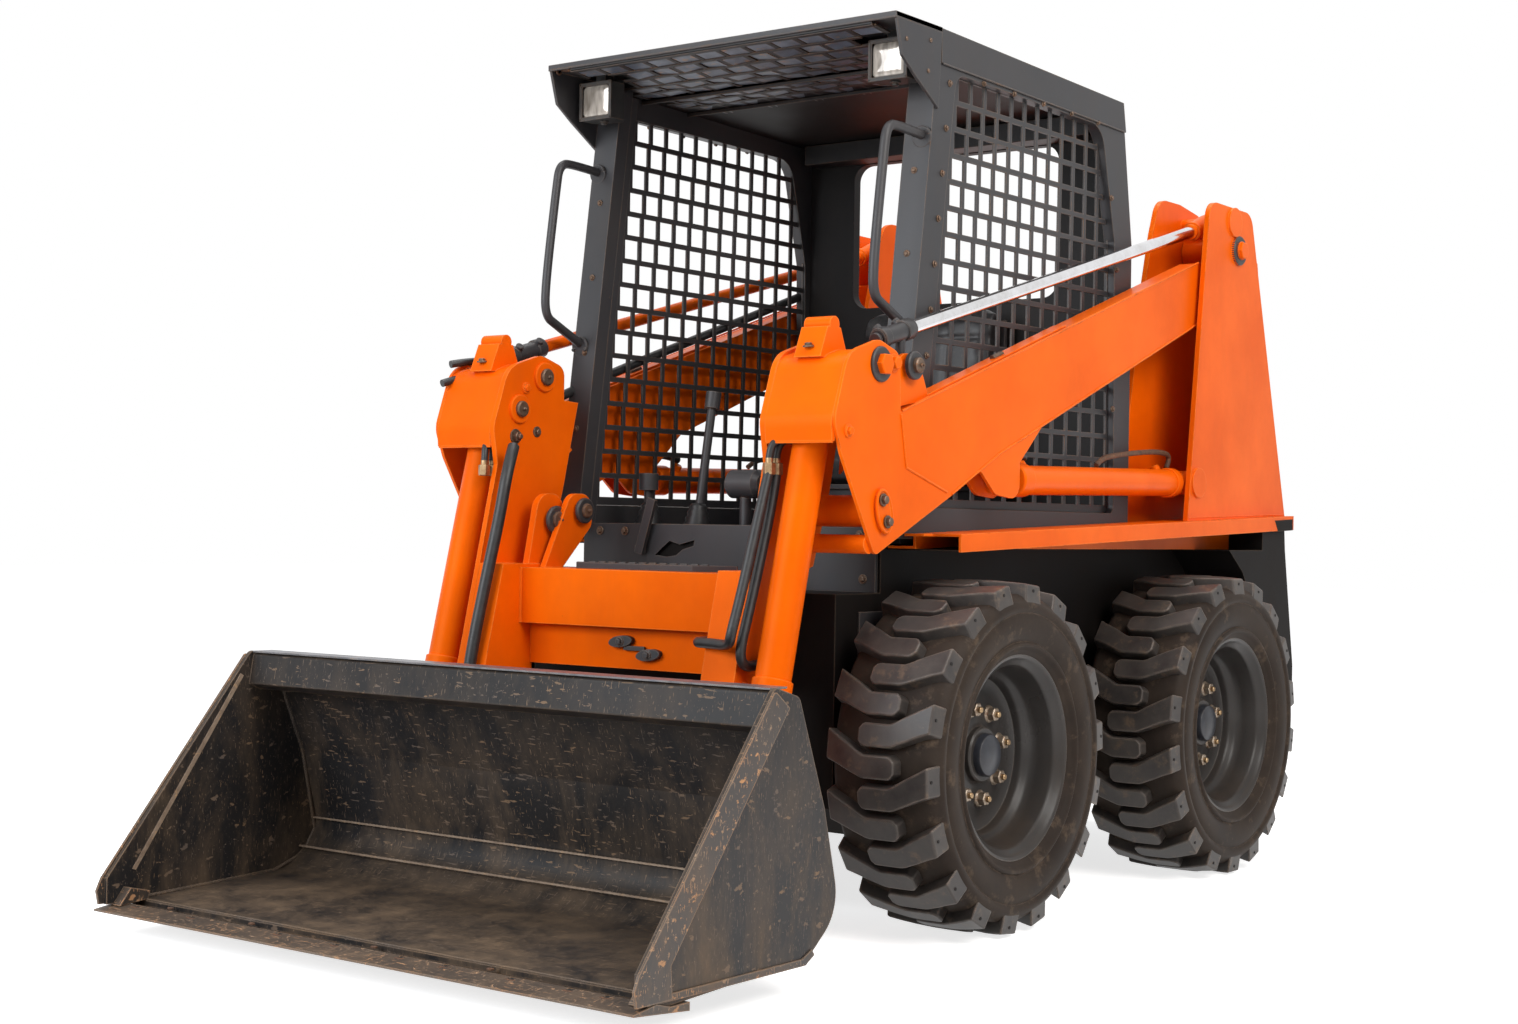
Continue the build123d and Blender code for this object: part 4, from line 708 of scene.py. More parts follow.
for corner, side, station in WHEELS:
    tyre(corner, side, station)
    rim(corner, side, station)


# ---- cab
CAB_TOP = 2014.0
CAB_HALF_WIDTH = 505.0
CAB_LEAN = 150.0
CAB_BASE = 862.0
VISOR_FRONT = -193.0
VISOR_HALF_WIDTH = CAB_HALF_WIDTH + 8
PILLAR_FACE = (0, -1, -0.13)
LAMP_X = 434.0
GRID_HEIGHT = 1972.0      # underside of the punched ceiling
GRID_BAR = 16.0
GRID_COLUMN = 74.0
GRID_ROW = 58.0
GRID_RIBS = (118.0, 304.0)      # stations of the crosswise ribs, between two stretches of rows


def grid_height(station):
    """Underside of the ceiling: level over the cab, rising to the visor's thin front lip."""
    return GRID_HEIGHT + 20 * max(0.0, station / VISOR_FRONT)


def ceiling():
    """Punched ceiling: bars round staggered cells, with the plate above showing in each cell in a light
    blue-grey that is painted sky reflection.
    """
    starts = [VISOR_FRONT + 14 + GRID_ROW * k for k in range(5)]
    starts += [GRID_RIBS[0] + 16 + GRID_ROW * k for k in range(3)]
    starts += [GRID_RIBS[1] + 16 + GRID_ROW * k for k in range(4)]
    bars, cells = Shape(), Shape()
    web = ((-7, 1), (7, 1), (7, 5.5), (-7, 5.5))
    for index, start in enumerate(starts):
        # Two rows stop short of the lamps.
        reach = 372 if -168 < start < -30 else 446
        front, back = start + GRID_BAR / 2, start + GRID_ROW - GRID_BAR / 2
        bars.block((-reach, start - GRID_BAR / 2, grid_height(start)), (reach, front, grid_height(start) + 6))
        shift = GRID_COLUMN / 2 if index % 2 else 0
        for column in range(-7, 8):
            x = column * GRID_COLUMN + shift
            if abs(x) > reach:
                continue
            bars.skin([[(x + dx, y, grid_height(y) + z) for dx, z in web] for y in (start, start + GRID_ROW)])
            if abs(x + GRID_COLUMN / 2) < reach - 20:
                # The sheet above is dented, so each cell lies a little differently.
                tilt = 2.2 * math.sin(3.1 * column + 1.7 * index)
                near, far = x + 8, x + GRID_COLUMN - 8
                corners = [(near, front, tilt), (far, front, -tilt), (far, back, -tilt), (near, back, tilt)]
                cells.skin([[(a, b, grid_height(b) + 2 + c + d) for a, b, c in corners] for d in (0, 3)])
    piece("cab_ceiling_bars", bars, GRID, bevel=1.5)
    piece("cab_ceiling_plate", cells, CEILING_SKY_REFLECTION, bevel=1.0)
    ribs = Shape()
    for station in GRID_RIBS:
        ribs.block((-470, station - 4, GRID_HEIGHT - 9), (470, station + 2, GRID_HEIGHT + 6))
        ribs.block((-470, station - 4, GRID_HEIGHT - 2), (470, station + 20, GRID_HEIGHT + 6))
    ribs.block((-445, VISOR_FRONT + 6, GRID_HEIGHT + 20), (445, VISOR_FRONT + 20, CAB_TOP - 12.5))
    # The header that closes the gap between the roof plate and the rear wall.
    ribs.block((-446, 800, 1905), (446, 874, 1958))
    piece("cab_ceiling_ribs", ribs, GRID, bevel=1.2)


def pillar_front(height):
    """Station of the leaning front pillars' front face at a height."""
    return -CAB_LEAN * (CAB_TOP - height) / (CAB_TOP - CAB_BASE)


def cab_fastenings():
    """The cab's screws, its handles' feet, its pillars' inner flanges and its roof rails' beads."""
    screws = Shape()
    for height in range(960, 1900, 104):
        screws.bolt((CAB_HALF_WIDTH, pillar_front(height) + 58, height), OUT, 5.5, 4, 8)
    for station, height in ((830, 1020), (850, 1200), (855, 1380), (862, 1560), (828, 1740)):
        screws.bolt((CAB_HALF_WIDTH, station, height), OUT, 5.5, 4, 8)
    for station in range(190, 760, 140):
        screws.bolt((CAB_HALF_WIDTH, station, 1921), OUT, 5, 4, 7)
    for station, height in ((-52, 1975), (-60, 1905), (-150, 1960)):
        screws.bolt((VISOR_HALF_WIDTH, station, height), OUT, 5.5, 3)
    for height in (1120, 1310, 1500, 1690):
        screws.bolt((468, pillar_front(height), height), PILLAR_FACE, 5.5, 4, 8)
    piece("cab_screws", screws.both_sides(), ZINC, bevel=0.5)
    feet = Shape()
    for height, lean in ((1765, 1), (1327, -1)):
        place = Vector((483, pillar_front(height) - 1, height))
        feet.turned([(25, -0.5), (25, 4), (23, 5.5)], place, PILLAR_FACE, 28)
        for dx in (-19, 19):
            feet.bolt(place + Vector((dx, -5, lean * 9)), PILLAR_FACE, 5, 4)
    piece("cab_handle_feet", feet.both_sides(), BLACK, bevel=0.6)
    flanges = Shape()
    section = ((434, 43), (434, 66), (440, 66), (440, 43))
    flanges.skin([[(x, pillar_front(z) + dy, z) for x, dy in section] for z in (880, 1400, 1965)])
    piece("cab_pillar_flanges", flanges.both_sides(), BLACK, bevel=0.8)
    beads = Shape()
    x = CAB_HALF_WIDTH + 3
    beads.bead([(x, 8, 1935), (x, 300, 1930.5), (x, 890, 1919.5)], 2.2, 6)
    piece("cab_weld_beads", beads.both_sides(), BLACK, bevel=0)


def visor():
    """The roof's front overhang: a plate with a thin turned lip between two cut-away side plates."""
    shape = Shape()
    half = VISOR_HALF_WIDTH
    shape.block((-half, VISOR_FRONT, CAB_TOP - 12), (half, -2, CAB_TOP))
    shape.block((-half, VISOR_FRONT, CAB_TOP - 15), (half, VISOR_FRONT + 6, CAB_TOP - 11))
    outline = [(VISOR_FRONT, CAB_TOP), (-165, 1922), (-110, 1885), (-14, 1828), (-2, CAB_TOP)]
    for x in (-half, CAB_HALF_WIDTH):
        shape.side_plate(outline, x, x + 8)
    piece("visor_plates", shape, BLACK, bevel=1.6, replaces=("cab_visor",))


def grab_handles():
    """Bent round handles on the front pillars."""
    bends = [
        (-25, 1768), (-120, 1775), (-178, 1772), (-190, 1700), (-222, 1470), (-222, 1392), (-180, 1372),
        (-95, 1334),
    ]
    for side_name, side in SIDES:
        points = [(side * 483, station, height) for station, height in bends]
        handle = pipe(f"grab_handle_{side_name}", points, 11, BLACK, "chassis")
        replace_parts(handle, "grab_handles")


def visor_latch():
    """The latch at the right-hand front corner of the visor, and its bolt."""
    lump = Shape()
    base = CAB_TOP - 8
    lump.block((-486, -176, base - 6), (-430, -158, base + 2))
    lump.turned([(9, -22), (10, -18), (10, 18), (9, 22)], (-459, -168, base + 2), (1, 0.1, 0), 18)
    lump.bolt((-497, -170, base - 4), INWARD, 7, 5, 10)
    piece("visor_latch", lump, RUSTY, bevel=0.8)


def lamps():
    """Lamp glass with its bezel and mounting nut."""
    low = Vector(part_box("work_lamps")[0]) * 1000
    front, middle_z = low.y - FRONT_AXLE.y, low.z + 45
    glass, bezel = Shape(), Shape()
    rings = []
    for grow, depth in ((0, 9), (0, 4.5), (-5, 1.8), (-14, 0.4), (-28, -0.2)):
        half, tall, round_off = 42 + grow, 38 + grow, max(11 + grow, 3)
        a, b = half - round_off, tall - round_off
        ring = []
        for x, z, start in ((a, b, 0), (-a, b, 90), (-a, -b, 180), (a, -b, 270)):
            for k in range(5):
                turn = math.radians(start + 22.5 * k)
                across, up = x + round_off * math.cos(turn), z + round_off * math.sin(turn)
                ring.append((LAMP_X + across, front + depth, middle_z + up))
        rings.append(ring)
    glass.skin(rings)
    for sign in (1, -1):
        x, z = LAMP_X + sign * 49, middle_z + sign * 44
        bezel.block((LAMP_X - 51, front - 1, z - 3), (LAMP_X + 51, front + 3, z + 3))
        bezel.block((x - 3, front - 1, middle_z - 46), (x + 3, front + 3, middle_z + 46))
    bezel.bolt((LAMP_X, front + 35, middle_z - 46), DOWN, 8, 6, 12)
    glass.both_sides()
    bezel.both_sides()
    piece("lamp_glass", glass, LENS, bevel=0, sharp=60, slot="lamp_housing")
    piece("lamp_bezels", bezel, LAMP, bevel=0.9, slot="lamp_housing")


def controls():
    """Pleated gaiters on the levers, and the pedals with their cleats."""
    rubber = Shape()
    pleats = [(34 - 2.2 * k + (4 if k % 2 else 0), 7.5 * k) for k in range(9)]
    for x, station in ((-200, 31), (-330, 0)):
        rubber.turned(pleats, (x, station, 878), (0, 0.09, 1), 28)
    piece("lever_gaiters", rubber, HOSE, bevel=0, sharp=80)
    pedals = Shape()
    section = ((-45, 905), (45, 905), (45, 913), (-45, 913))
    for x in (170, 290):
        pedals.skin([[(x + dx, 5 + 80 * k, z + 26 * k) for dx, z in section] for k in (0, 1)])
        for k in range(5):
            y = 14 + 16 * k
            pedals.block((x - 40, y - 3, 913 + 0.32 * y), (x + 40, y + 3, 917 + 0.32 * y))
        pedals.block((x - 8, 30, 875), (x + 8, 46, 918))
    piece("foot_pedals", pedals, RUSTY, bevel=1.2)


ceiling()
visor()
grab_handles()
cab_fastenings()
visor_latch()
lamps()
controls()


# ---- seat
CLOTH_FRAMES = 20
SEAM_X = 78


def soft_block(name, outline, half_width, crown, inset):
    """A crowned closed form: a side-view outline drawn in towards both ends."""
    centre_y = sum(y for y, _ in outline) / len(outline)
    centre_z = sum(z for _, z in outline) / len(outline)
    rings = []
    steps = 12
    for k in range(steps + 1):
        x = half_width * (2 * k / steps - 1)
        share = abs(x) / half_width
        grow = 1 - inset * share ** 6 + crown * (1 - share ** 2)
        rings.append([(x, centre_y + (y - centre_y) * grow, centre_z + (z - centre_z) * grow)
                      for y, z in outline])
    return new_object(name, new_mesh(name, Shape().skin(rings)))


def apply_modifiers(obj):
    """Replaces the mesh by what its modifiers make of it."""
    graph = bpy.context.evaluated_depsgraph_get()
    done = bpy.data.meshes.new_from_object(obj.evaluated_get(graph), depsgraph=graph)
    obj.modifiers.clear()
    obj.data = done


def inflate(obj, cap):
    """Swells the pad with a short cloth simulation; no point moves further than cap metres."""
    remesh = obj.modifiers.new("even_mesh", "REMESH")
    remesh.mode = "VOXEL"
    remesh.voxel_size = 0.009
    apply_modifiers(obj)
    start = [vertex.co.copy() for vertex in obj.data.vertices]
    cloth = obj.modifiers.new("swell", "CLOTH")
    cloth.settings.use_pressure = True
    cloth.settings.uniform_pressure_force = 4.0
    cloth.settings.effector_weights.gravity = 0.0
    cloth.settings.quality = 5
    cloth.point_cache.frame_start = 1
    cloth.point_cache.frame_end = CLOTH_FRAMES
    for number in range(1, CLOTH_FRAMES + 1):
        bpy.context.scene.frame_set(number)
    apply_modifiers(obj)
    bpy.context.scene.frame_set(1)
    for vertex, before in zip(obj.data.vertices, start):
        moved = vertex.co - before
        if moved.length > cap:
            vertex.co = before + moved.normalized() * cap


def sew(obj, lines, depth, width):
    """Presses sewn channels into a pad: each line is a function giving a point's distance from it."""
    for vertex in obj.data.vertices:
        point = vertex.co * 1000 - Vector((0, FRONT_AXLE.y, 0))
        for away in lines:
            gap = away(point)
            vertex.co -= vertex.normal * (depth * math.exp(-((gap / width) ** 2)) / 1000)


def seat():
    """Cushion and back rest in worn vinyl on a steel pedestal."""
    side_view = [(412, 1006), (406, 1060), (430, 1090), (560, 1096), (690, 1080), (712, 1040), (706, 1006)]
    cushion = soft_block("seat_cushion", side_view, 218, 0.02, 0.10)
    side_view = [
        (722, 1096), (712, 1140), (733, 1300), (748, 1440), (764, 1478), (788, 1482), (800, 1460),
        (806, 1300), (812, 1120), (800, 1096),
    ]
    back = soft_block("seat_back", side_view, 212, 0.02, 0.12)
    for pad in (cushion, back):
        inflate(pad, 0.012)
    seams = [lambda p: p.x + SEAM_X, lambda p: p.x - SEAM_X]
    sew(cushion, seams + [lambda p: p.y - 470], 5.0, 7.0)
    sew(back, seams + [lambda p: p.z - 1390], 5.0, 7.0)
    for pad, share in ((cushion, 0.65), (back, 0.6)):
        smooth = pad.modifiers.new("smooth", "SUBSURF")
        smooth.levels = smooth.render_levels = 1
        pad.data.shade_smooth()
        pad.data.materials.clear()
        pad.data.materials.append(VINYL)
        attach(pad, "chassis")
    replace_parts(cushion, "seat")
    base = Shape()
    base.block((-196, 436, 874), (196, 832, 984))
    base.block((-206, 425, 984), (206, 842, 996))
    for x in (-160, 160):
        base.block((x - 20, 716, 996), (x + 20, 838, 1180))
    for x in (-150, 150):
        base.bolt((x, 435, 930), FORWARD, 8, 6, 13)
    base.block((-205, 815, 996), (205, 826, 1440))
    pedestal = piece("seat_pedestal", base, BLACK, bevel=2.5)
    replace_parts(pedestal, "seat")
    piping = Shape()
    for x in (-222, 222):
        piping.tube([(x, 424, 1020), (x, 418, 1062), (x, 440, 1086), (x, 560, 1090), (x, 684, 1074)], 4.5, 8)
    piece("seat_piping", piping, VINYL, bevel=0, sharp=80, slot="seat_vinyl")


seat()


# ---- loader arm
KNUCKLE_OUTER_X = 578.0
KNUCKLE_INNER_X = 385.0
ARM_CENTRE_X = 548.0
TOWER_OUTER_X = 604.0
LIFT_FOOT = (1150.0, 1018.0)
LIFT_EYE = (215.0, 1001.0)
TILT_HEAD = (-411.0, 1151.0)
TILT_EYE = (-608.0, 345.0)
TILT_X = 474.0
LEVEL_EYE = (1355.0, 1735.0)
LEVEL_PIN = (-202.0, 1236.0)
LEVEL_FRONT = (-290.0, 1287.0)
LEVEL_X = 543.0
BUCKET_PIVOT = (-490.0, 225.0)
HOSE_X = 413.0            # where the hoses come down inside the knuckle
# Lengths of the tubes, from the pins they hang on to the ends that the rods come out of.
LIFT_TUBE = 876.0
TILT_TUBE = 650.0
LEVEL_TUBE = 125.0


def along(start, end, distance):
    """The (station, height) point at a distance from start towards end."""
    a, b = Vector(start), Vector(end)
    return a + (b - a).normalized() * distance


def heading(start, end):
    """Direction in the side view, as an axis for turned()."""
    step = (Vector(end) - Vector(start)).normalized()
    return (0, step.x, step.y)


def knuckle_pins():
    """Washers, bolts and pin ends on the knuckles' outer and inner plates."""
    painted, bare, washers = Shape(), Shape(), Shape()
    x = KNUCKLE_OUTER_X
    washers.turned([(38, -1), (38, 4), (35, 7), (30, 7)], (x, -330, 1230), OUT, 44)
    painted.bolt((x + 6, -330, 1230), OUT, 24, 14)
    painted.bolt((x, -281, 1236), OUT, 15, 11, 20)
    washers.turned([(31, -1), (31, 8), (28, 11)], (x - 2, *LEVEL_PIN), OUT, 40)
    bare.pin_end((x + 8, *LEVEL_PIN), OUT, 17, 12)
    painted.bolt((x, -447, 1084), OUT, 10, 8, 15)
    # The oval pad with its two bolts.
    rim_line = oval((-317, 920), (25.65, 7.56), (-12.88, 43.7), 36)
    painted.side_plate(rim_line, x - 1, x + 7)
    painted.tube([(x + 6, *point) for point in rim_line + rim_line[:1]], 4)
    for dy, dz in ((-9, 24), (9, -22)):
        bare.bolt((x + 9, -317 + dy, 920 + dz), OUT, 10, 8, 14)
    # Inner plate, seen past the open side.
    x = KNUCKLE_INNER_X
    for station, height, radius in ((-327, 1231, 26), (-411, 1151, 25)):
        painted.turned([(radius + 9, -1), (radius + 9, 5), (radius + 7, 7)], (x, station, height), INWARD, 40)
        bare.pin_end((x - 6, station, height), INWARD, radius - 6, 10)
    painted.bolt((x, -389, 1202), INWARD, 9, 7, 14)
    bare.bolt((x, -423, 1086), INWARD, 12, 10, 18, 8)
    bare.bolt((x, -350, 1100), INWARD, 8, 6, 13)
    for shape in (painted, bare, washers):
        shape.both_sides()
    piece("knuckle_washers", washers, BLACK, "loader_arm", bevel=0.8)
    piece("knuckle_bosses", painted, ORANGE, "loader_arm", bevel=1.0)
    piece("knuckle_pin_ends", bare, ZINC, "loader_arm", bevel=0.8)


def ear_pins():
    """Two pins through the ears that join crossmember and knuckle."""
    bosses, ends = Shape(), Shape()
    for x, station, height, size in ((313, -358, 892, 25), (282, -294, 915, 22)):
        bosses.turned([(size + 8, -1), (size + 8, 6), (size + 5, 9)], (x, station, height), INWARD, 40)
        ends.pin_end((x - 8, station, height), INWARD, size - 5, 8)
    bosses.both_sides()
    ends.both_sides()
    piece("ear_bosses", bosses, BLACK, "loader_arm", bevel=1.0)
    piece("ear_pin_ends", ends, RUSTY, "loader_arm", bevel=0.8)


def arm_fittings():
    """The arms' weld beads, strips, gussets and screws, the crossmember's latch and the step's cleats."""
    beads = Shape()
    x = ARM_CENTRE_X + 30.5
    beads.bead([(x, -245, 1136), (x, 480, 1376), (x, 1190, 1609)], 2.6, 6)
    beads.bead([(x, -40, 962), (x, 170, 1062), (x, 1182, 1442)], 2.6, 6)
    beads.bead([(x + 0.4, -250, 1128), (x + 0.4, -226, 1015), (x + 0.4, -60, 966)], 2.6, 6)
    for height in (560, 640, 720):
        beads.bead([(399.5, -560 + 0.2 * (height - 560), height), (399.5, -548, height)], 2.2, 6)
    beads.bead([(311, -475, 655), (311, -475, 782)], 4.5)
    piece("arm_weld_beads", beads.both_sides(), ORANGE, "loader_arm", bevel=0)
    strips = Shape()
    section = ((530, 1166), (566, 1166), (566, 1171), (530, 1171))
    strips.skin([[(x, -150 + 640 * k, z + 212 * k) for x, z in section] for k in (0, 1)])
    # Cover seam above the tilt cylinder, and the gussets behind the knuckle.
    strips.block((401, -492, 1058), (568, -484, 1066))
    for x in (424, 520):
        strips.side_plate([(-258, 1000), (-180, 1064), (-250, 1118)], x, x + 6)
    piece("arm_strips", strips.both_sides(), ORANGE, "loader_arm", bevel=1.0)
    screws = Shape()
    screws.tube([(ARM_CENTRE_X, 176, 1280), (ARM_CENTRE_X, 218, 1294)], 7, 12)
    for station, height in ((-400, 1313), (-447, 1262), (-356, 1262)):
        screws.bolt((TILT_X, station, height), (0, -0.1, 1), 8, 6, 12)
    piece("arm_screws", screws.both_sides(), ZINC, "loader_arm", bevel=0.5)
    latch = Shape()
    for x, height in ((-27, 623), (53, 596)):
        latch.front_plate(oval((x, height), (34, 4), (0, 13), 30), -453, -440)
        latch.bolt((x, -453, height), FORWARD, 8, 6, 11)
    latch.block((-20, -449, 604), (40, -443, 614))
    piece("crossmember_latch", latch, BLACK, "loader_arm", bevel=1.5, slot="black_paint")
    step = Shape()
    for x in range(-150, 151, 30):
        step.block((x - 9, -412, 795), (x + 9, -406, 799))
        step.block((x + 6, -396, 795), (x + 24, -390, 799))
    piece("step_cleats", step, BLACK, "loader_arm", bevel=1.0, slot="black_paint")


def tower_fittings():
    """The arm's pivot bolts on the towers, and the towers' weld beads."""
    bosses, washers, beads = Shape(), Shape(), Shape()
    x = TOWER_OUTER_X
    washers.turned([(40, -1), (40, 7), (37, 10)], (x, 1382, 1660), OUT, 44)
    bosses.bolt((x + 9, 1382, 1660), OUT, 25, 13)
    beads.bead([(x - 2, 1098, 925), (x - 2, 1715, 942)], 3.2, 6)
    beads.bead([(590, 1512, 1640), (590, 1642, 965)], 4, 6)
    for shape in (bosses, washers, beads):
        shape.both_sides()
    piece("tower_washers", washers, BLACK, bevel=0.8, slot="orange_paint")
    piece("tower_bolts", bosses, ORANGE, bevel=1.0, slot="orange_paint")
    piece("tower_weld_beads", beads, ORANGE, bevel=0, slot="orange_paint")


# ---- cylinders
def cylinder_fittings(side_name, side):
    """Glands, collars, ports and rod ends of one side's three cylinders."""
    def build(name, body, finish, slot, x, start, end, rounds):
        """Rounds along one cylinder: (distance from start, rows, sides, and turned()'s options)."""
        shape = Shape()
        for distance, rows, sides, *options in rounds:
            choices = {"axis": heading(start, end)} | (options[0] if options else {})
            shape.turned(rows, (x, *along(start, end, distance)), sides=sides, **choices)
        shape = shape if side > 0 else shape.mirrored()
        piece(f"{name}_{side_name}", shape, finish, f"{body}_{side_name}", bevel=0.8, slot=slot)

    lift_port = ([(13, 30), (13, 47), (11, 49)], 20, {"axis": (-0.5, 0, 0.85)})
    tilt_port = ([(14, 32), (14, 52), (12, 54)], 20, {"axis": (-0.8, 0.2, -0.2)})
    level_port = ([(10, 16), (10, 30), (8, 32)], 18, {"axis": (-0.7, -0.2, 0.7)})
    build("lift_tube_collars", "lift_tube", ORANGE, "orange_paint", ARM_CENTRE_X, LIFT_FOOT, LIFT_EYE, [
        (LIFT_TUBE, [(36.5, -46), (40, -44), (40, 0), (37, 4), (20, 5)], 44),
        (0, [(36.5, 46), (39, 48), (39, 74), (36.5, 76)], 44),
        (96, *lift_port),
        (800, *lift_port),
    ])
    build("lift_rod_end", "lift_rod", BLACK, "chrome_rod", ARM_CENTRE_X, LIFT_EYE, LIFT_FOOT, [
        (0, [(24, 26), (24, 40), (19.5, 46)], 32),
        (0, [(19, -24), (19, 24)], 32, {"axis": OUT}),
    ])
    build("tilt_tube_collars", "tilt_tube", ORANGE, "orange_paint", TILT_X, TILT_HEAD, TILT_EYE, [
        (TILT_TUBE, [(39.5, -52), (43, -50), (43, 0), (40, 4), (24, 5)], 48),
        (0, [(39.5, 52), (42, 54), (42, 74), (39.5, 77)], 48),
        (606, *tilt_port),
    ])
    build("tilt_rod_end", "tilt_rod", BUCKET, "chrome_rod", TILT_X, TILT_EYE, TILT_HEAD, [
        (0, [(28, 26), (28, 38), (22, 44)], 32),
    ])
    # The looped rounds have a bore, since the rod slides in it.
    build("level_tube_gland", "level_tube", BLACK, "black_paint", LEVEL_X, LEVEL_FRONT, LEVEL_EYE, [
        (LEVEL_TUBE, [(20, -30), (24, -28), (24, 0), (22, 3), (20, 3)], 36, {"looped": True}),
        (0, [(20.5, 2), (23.5, 4), (23.5, 26), (20.5, 28)], 36, {"looped": True}),
        (0, [(15, -12), (15, -3)], 24),
        (30, *level_port),
        (104, *level_port),
    ])
    build("level_rod_clevis", "level_rod", ORANGE, "orange_paint", LEVEL_X, LEVEL_EYE, LEVEL_FRONT, [
        (0, [(33, 20), (32, 60), (24, 118), (20, 150), (17, 152)], 40),
        (0, [(24, 128), (26, 130), (26, 140), (24, 142)], 40),
    ])


def hoses():
    """Hoses, their unions, and the bent pipes that show round the arm and its cylinders."""
    def run(name, points, radius, finish, body):
        obj = pipe(name, points, radius, finish, body)
        return obj

    unions = Shape()
    for station in (-496, -470):
        unions.turned([(12, -24), (14, -22), (14, 0), (12, 2)], (HOSE_X, station, 1016), UP, 6)
        unions.turned([(8, 0), (8, 12)], (HOSE_X, station, 1016), UP, 16)
    piece("hose_unions", unions.both_sides(), BRASS, "loader_arm", bevel=0.8, slot="black_rubber")
    down = [(-496, 1000), (-513, 955), (-588, 735), (-618, 662)]
    outer = [(HOSE_X, *point) for point in down]
    outer += [(400, -606, 638), (340, -590, 640), (286, -580, 640), (286, -520, 640), (286, -444, 640)]
    down = [(-470, 1000), (-480, 940), (-556, 711), (-590, 622), (-570, 592), (-520, 598)]
    inner = [(HOSE_X, *point) for point in down] + [(405, -470, 598)]
    for name, points in (("boom_hose_outer", outer), ("boom_hose_inner", inner)):
        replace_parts(run(name, points, 11, HOSE, "loader_arm"), "boom_hoses")
    sleeve = [
        (-345, -470, 1060), (-322, -512, 1010), (-325, -535, 891), (-334, -562, 765), (-342, -605, 571),
        (-344, -612, 500),
    ]
    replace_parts(run("boom_hose_sleeve", sleeve, 14, HOSE, "loader_arm"), "boom_hoses")
    ends = (((-348, 1274), (-453, 1259)), ((-347, 1241), (-480, 1212)))
    for index, (start, end) in enumerate(ends):
        stub = [(-543, *start), (-556, start[0] - 60, start[1] - 4), (-572, *end)]
        run(f"far_level_hose_{index + 1}", stub, 9, HOSE, "loader_arm")
    above = [(-500, -150, 1196), (-500, 60, 1275), (-500, 500, 1420), (-500, 1000, 1590)]
    run("far_arm_hose", above, 12, HOSE, "loader_arm")
    line = [
        (530, 1112, 1056), (532, 1140, 1092), (535, 1050, 1098), (540, 917, 1090), (545, 770, 1076),
        (546, 714, 1066), (547, 690, 1050),
    ]
    elbow = [(548, 262, 1018), (548, 250, 1056), (540, 300, 1074), (530, 360, 1058)]
    for side_name, side in SIDES:
        for index, y in enumerate((-496, -470)):
            bend = [(HOSE_X, y, 1024), (HOSE_X, y + 2, 1052), (427, y + 18, 1070), (443, -450, 1064)]
            run(f"knuckle_pipe_{side_name}_{index + 1}", sided(bend, side), 8, HOSE, "loader_arm")
        run(f"lift_line_{side_name}", sided(line, side), 7, RUSTY, f"lift_tube_{side_name}")
        run(f"lift_elbow_{side_name}", sided(elbow, side), 9, HOSE, f"lift_tube_{side_name}")


knuckle_pins()
ear_pins()
arm_fittings()
tower_fittings()
for side_name, side in SIDES:
    cylinder_fittings(side_name, side)
hoses()


# ---- bucket
BUCKET_TIP = -1302.0
CHEEK_INNER_X = 731.0
BUCKET_HALF_WIDTH = 747.0
EDGE_FACE = (0, 0.1, 1)
EDGE_HOLES_X = (-671, -490, -220, -54, 126, 244, 413, 553, 640)


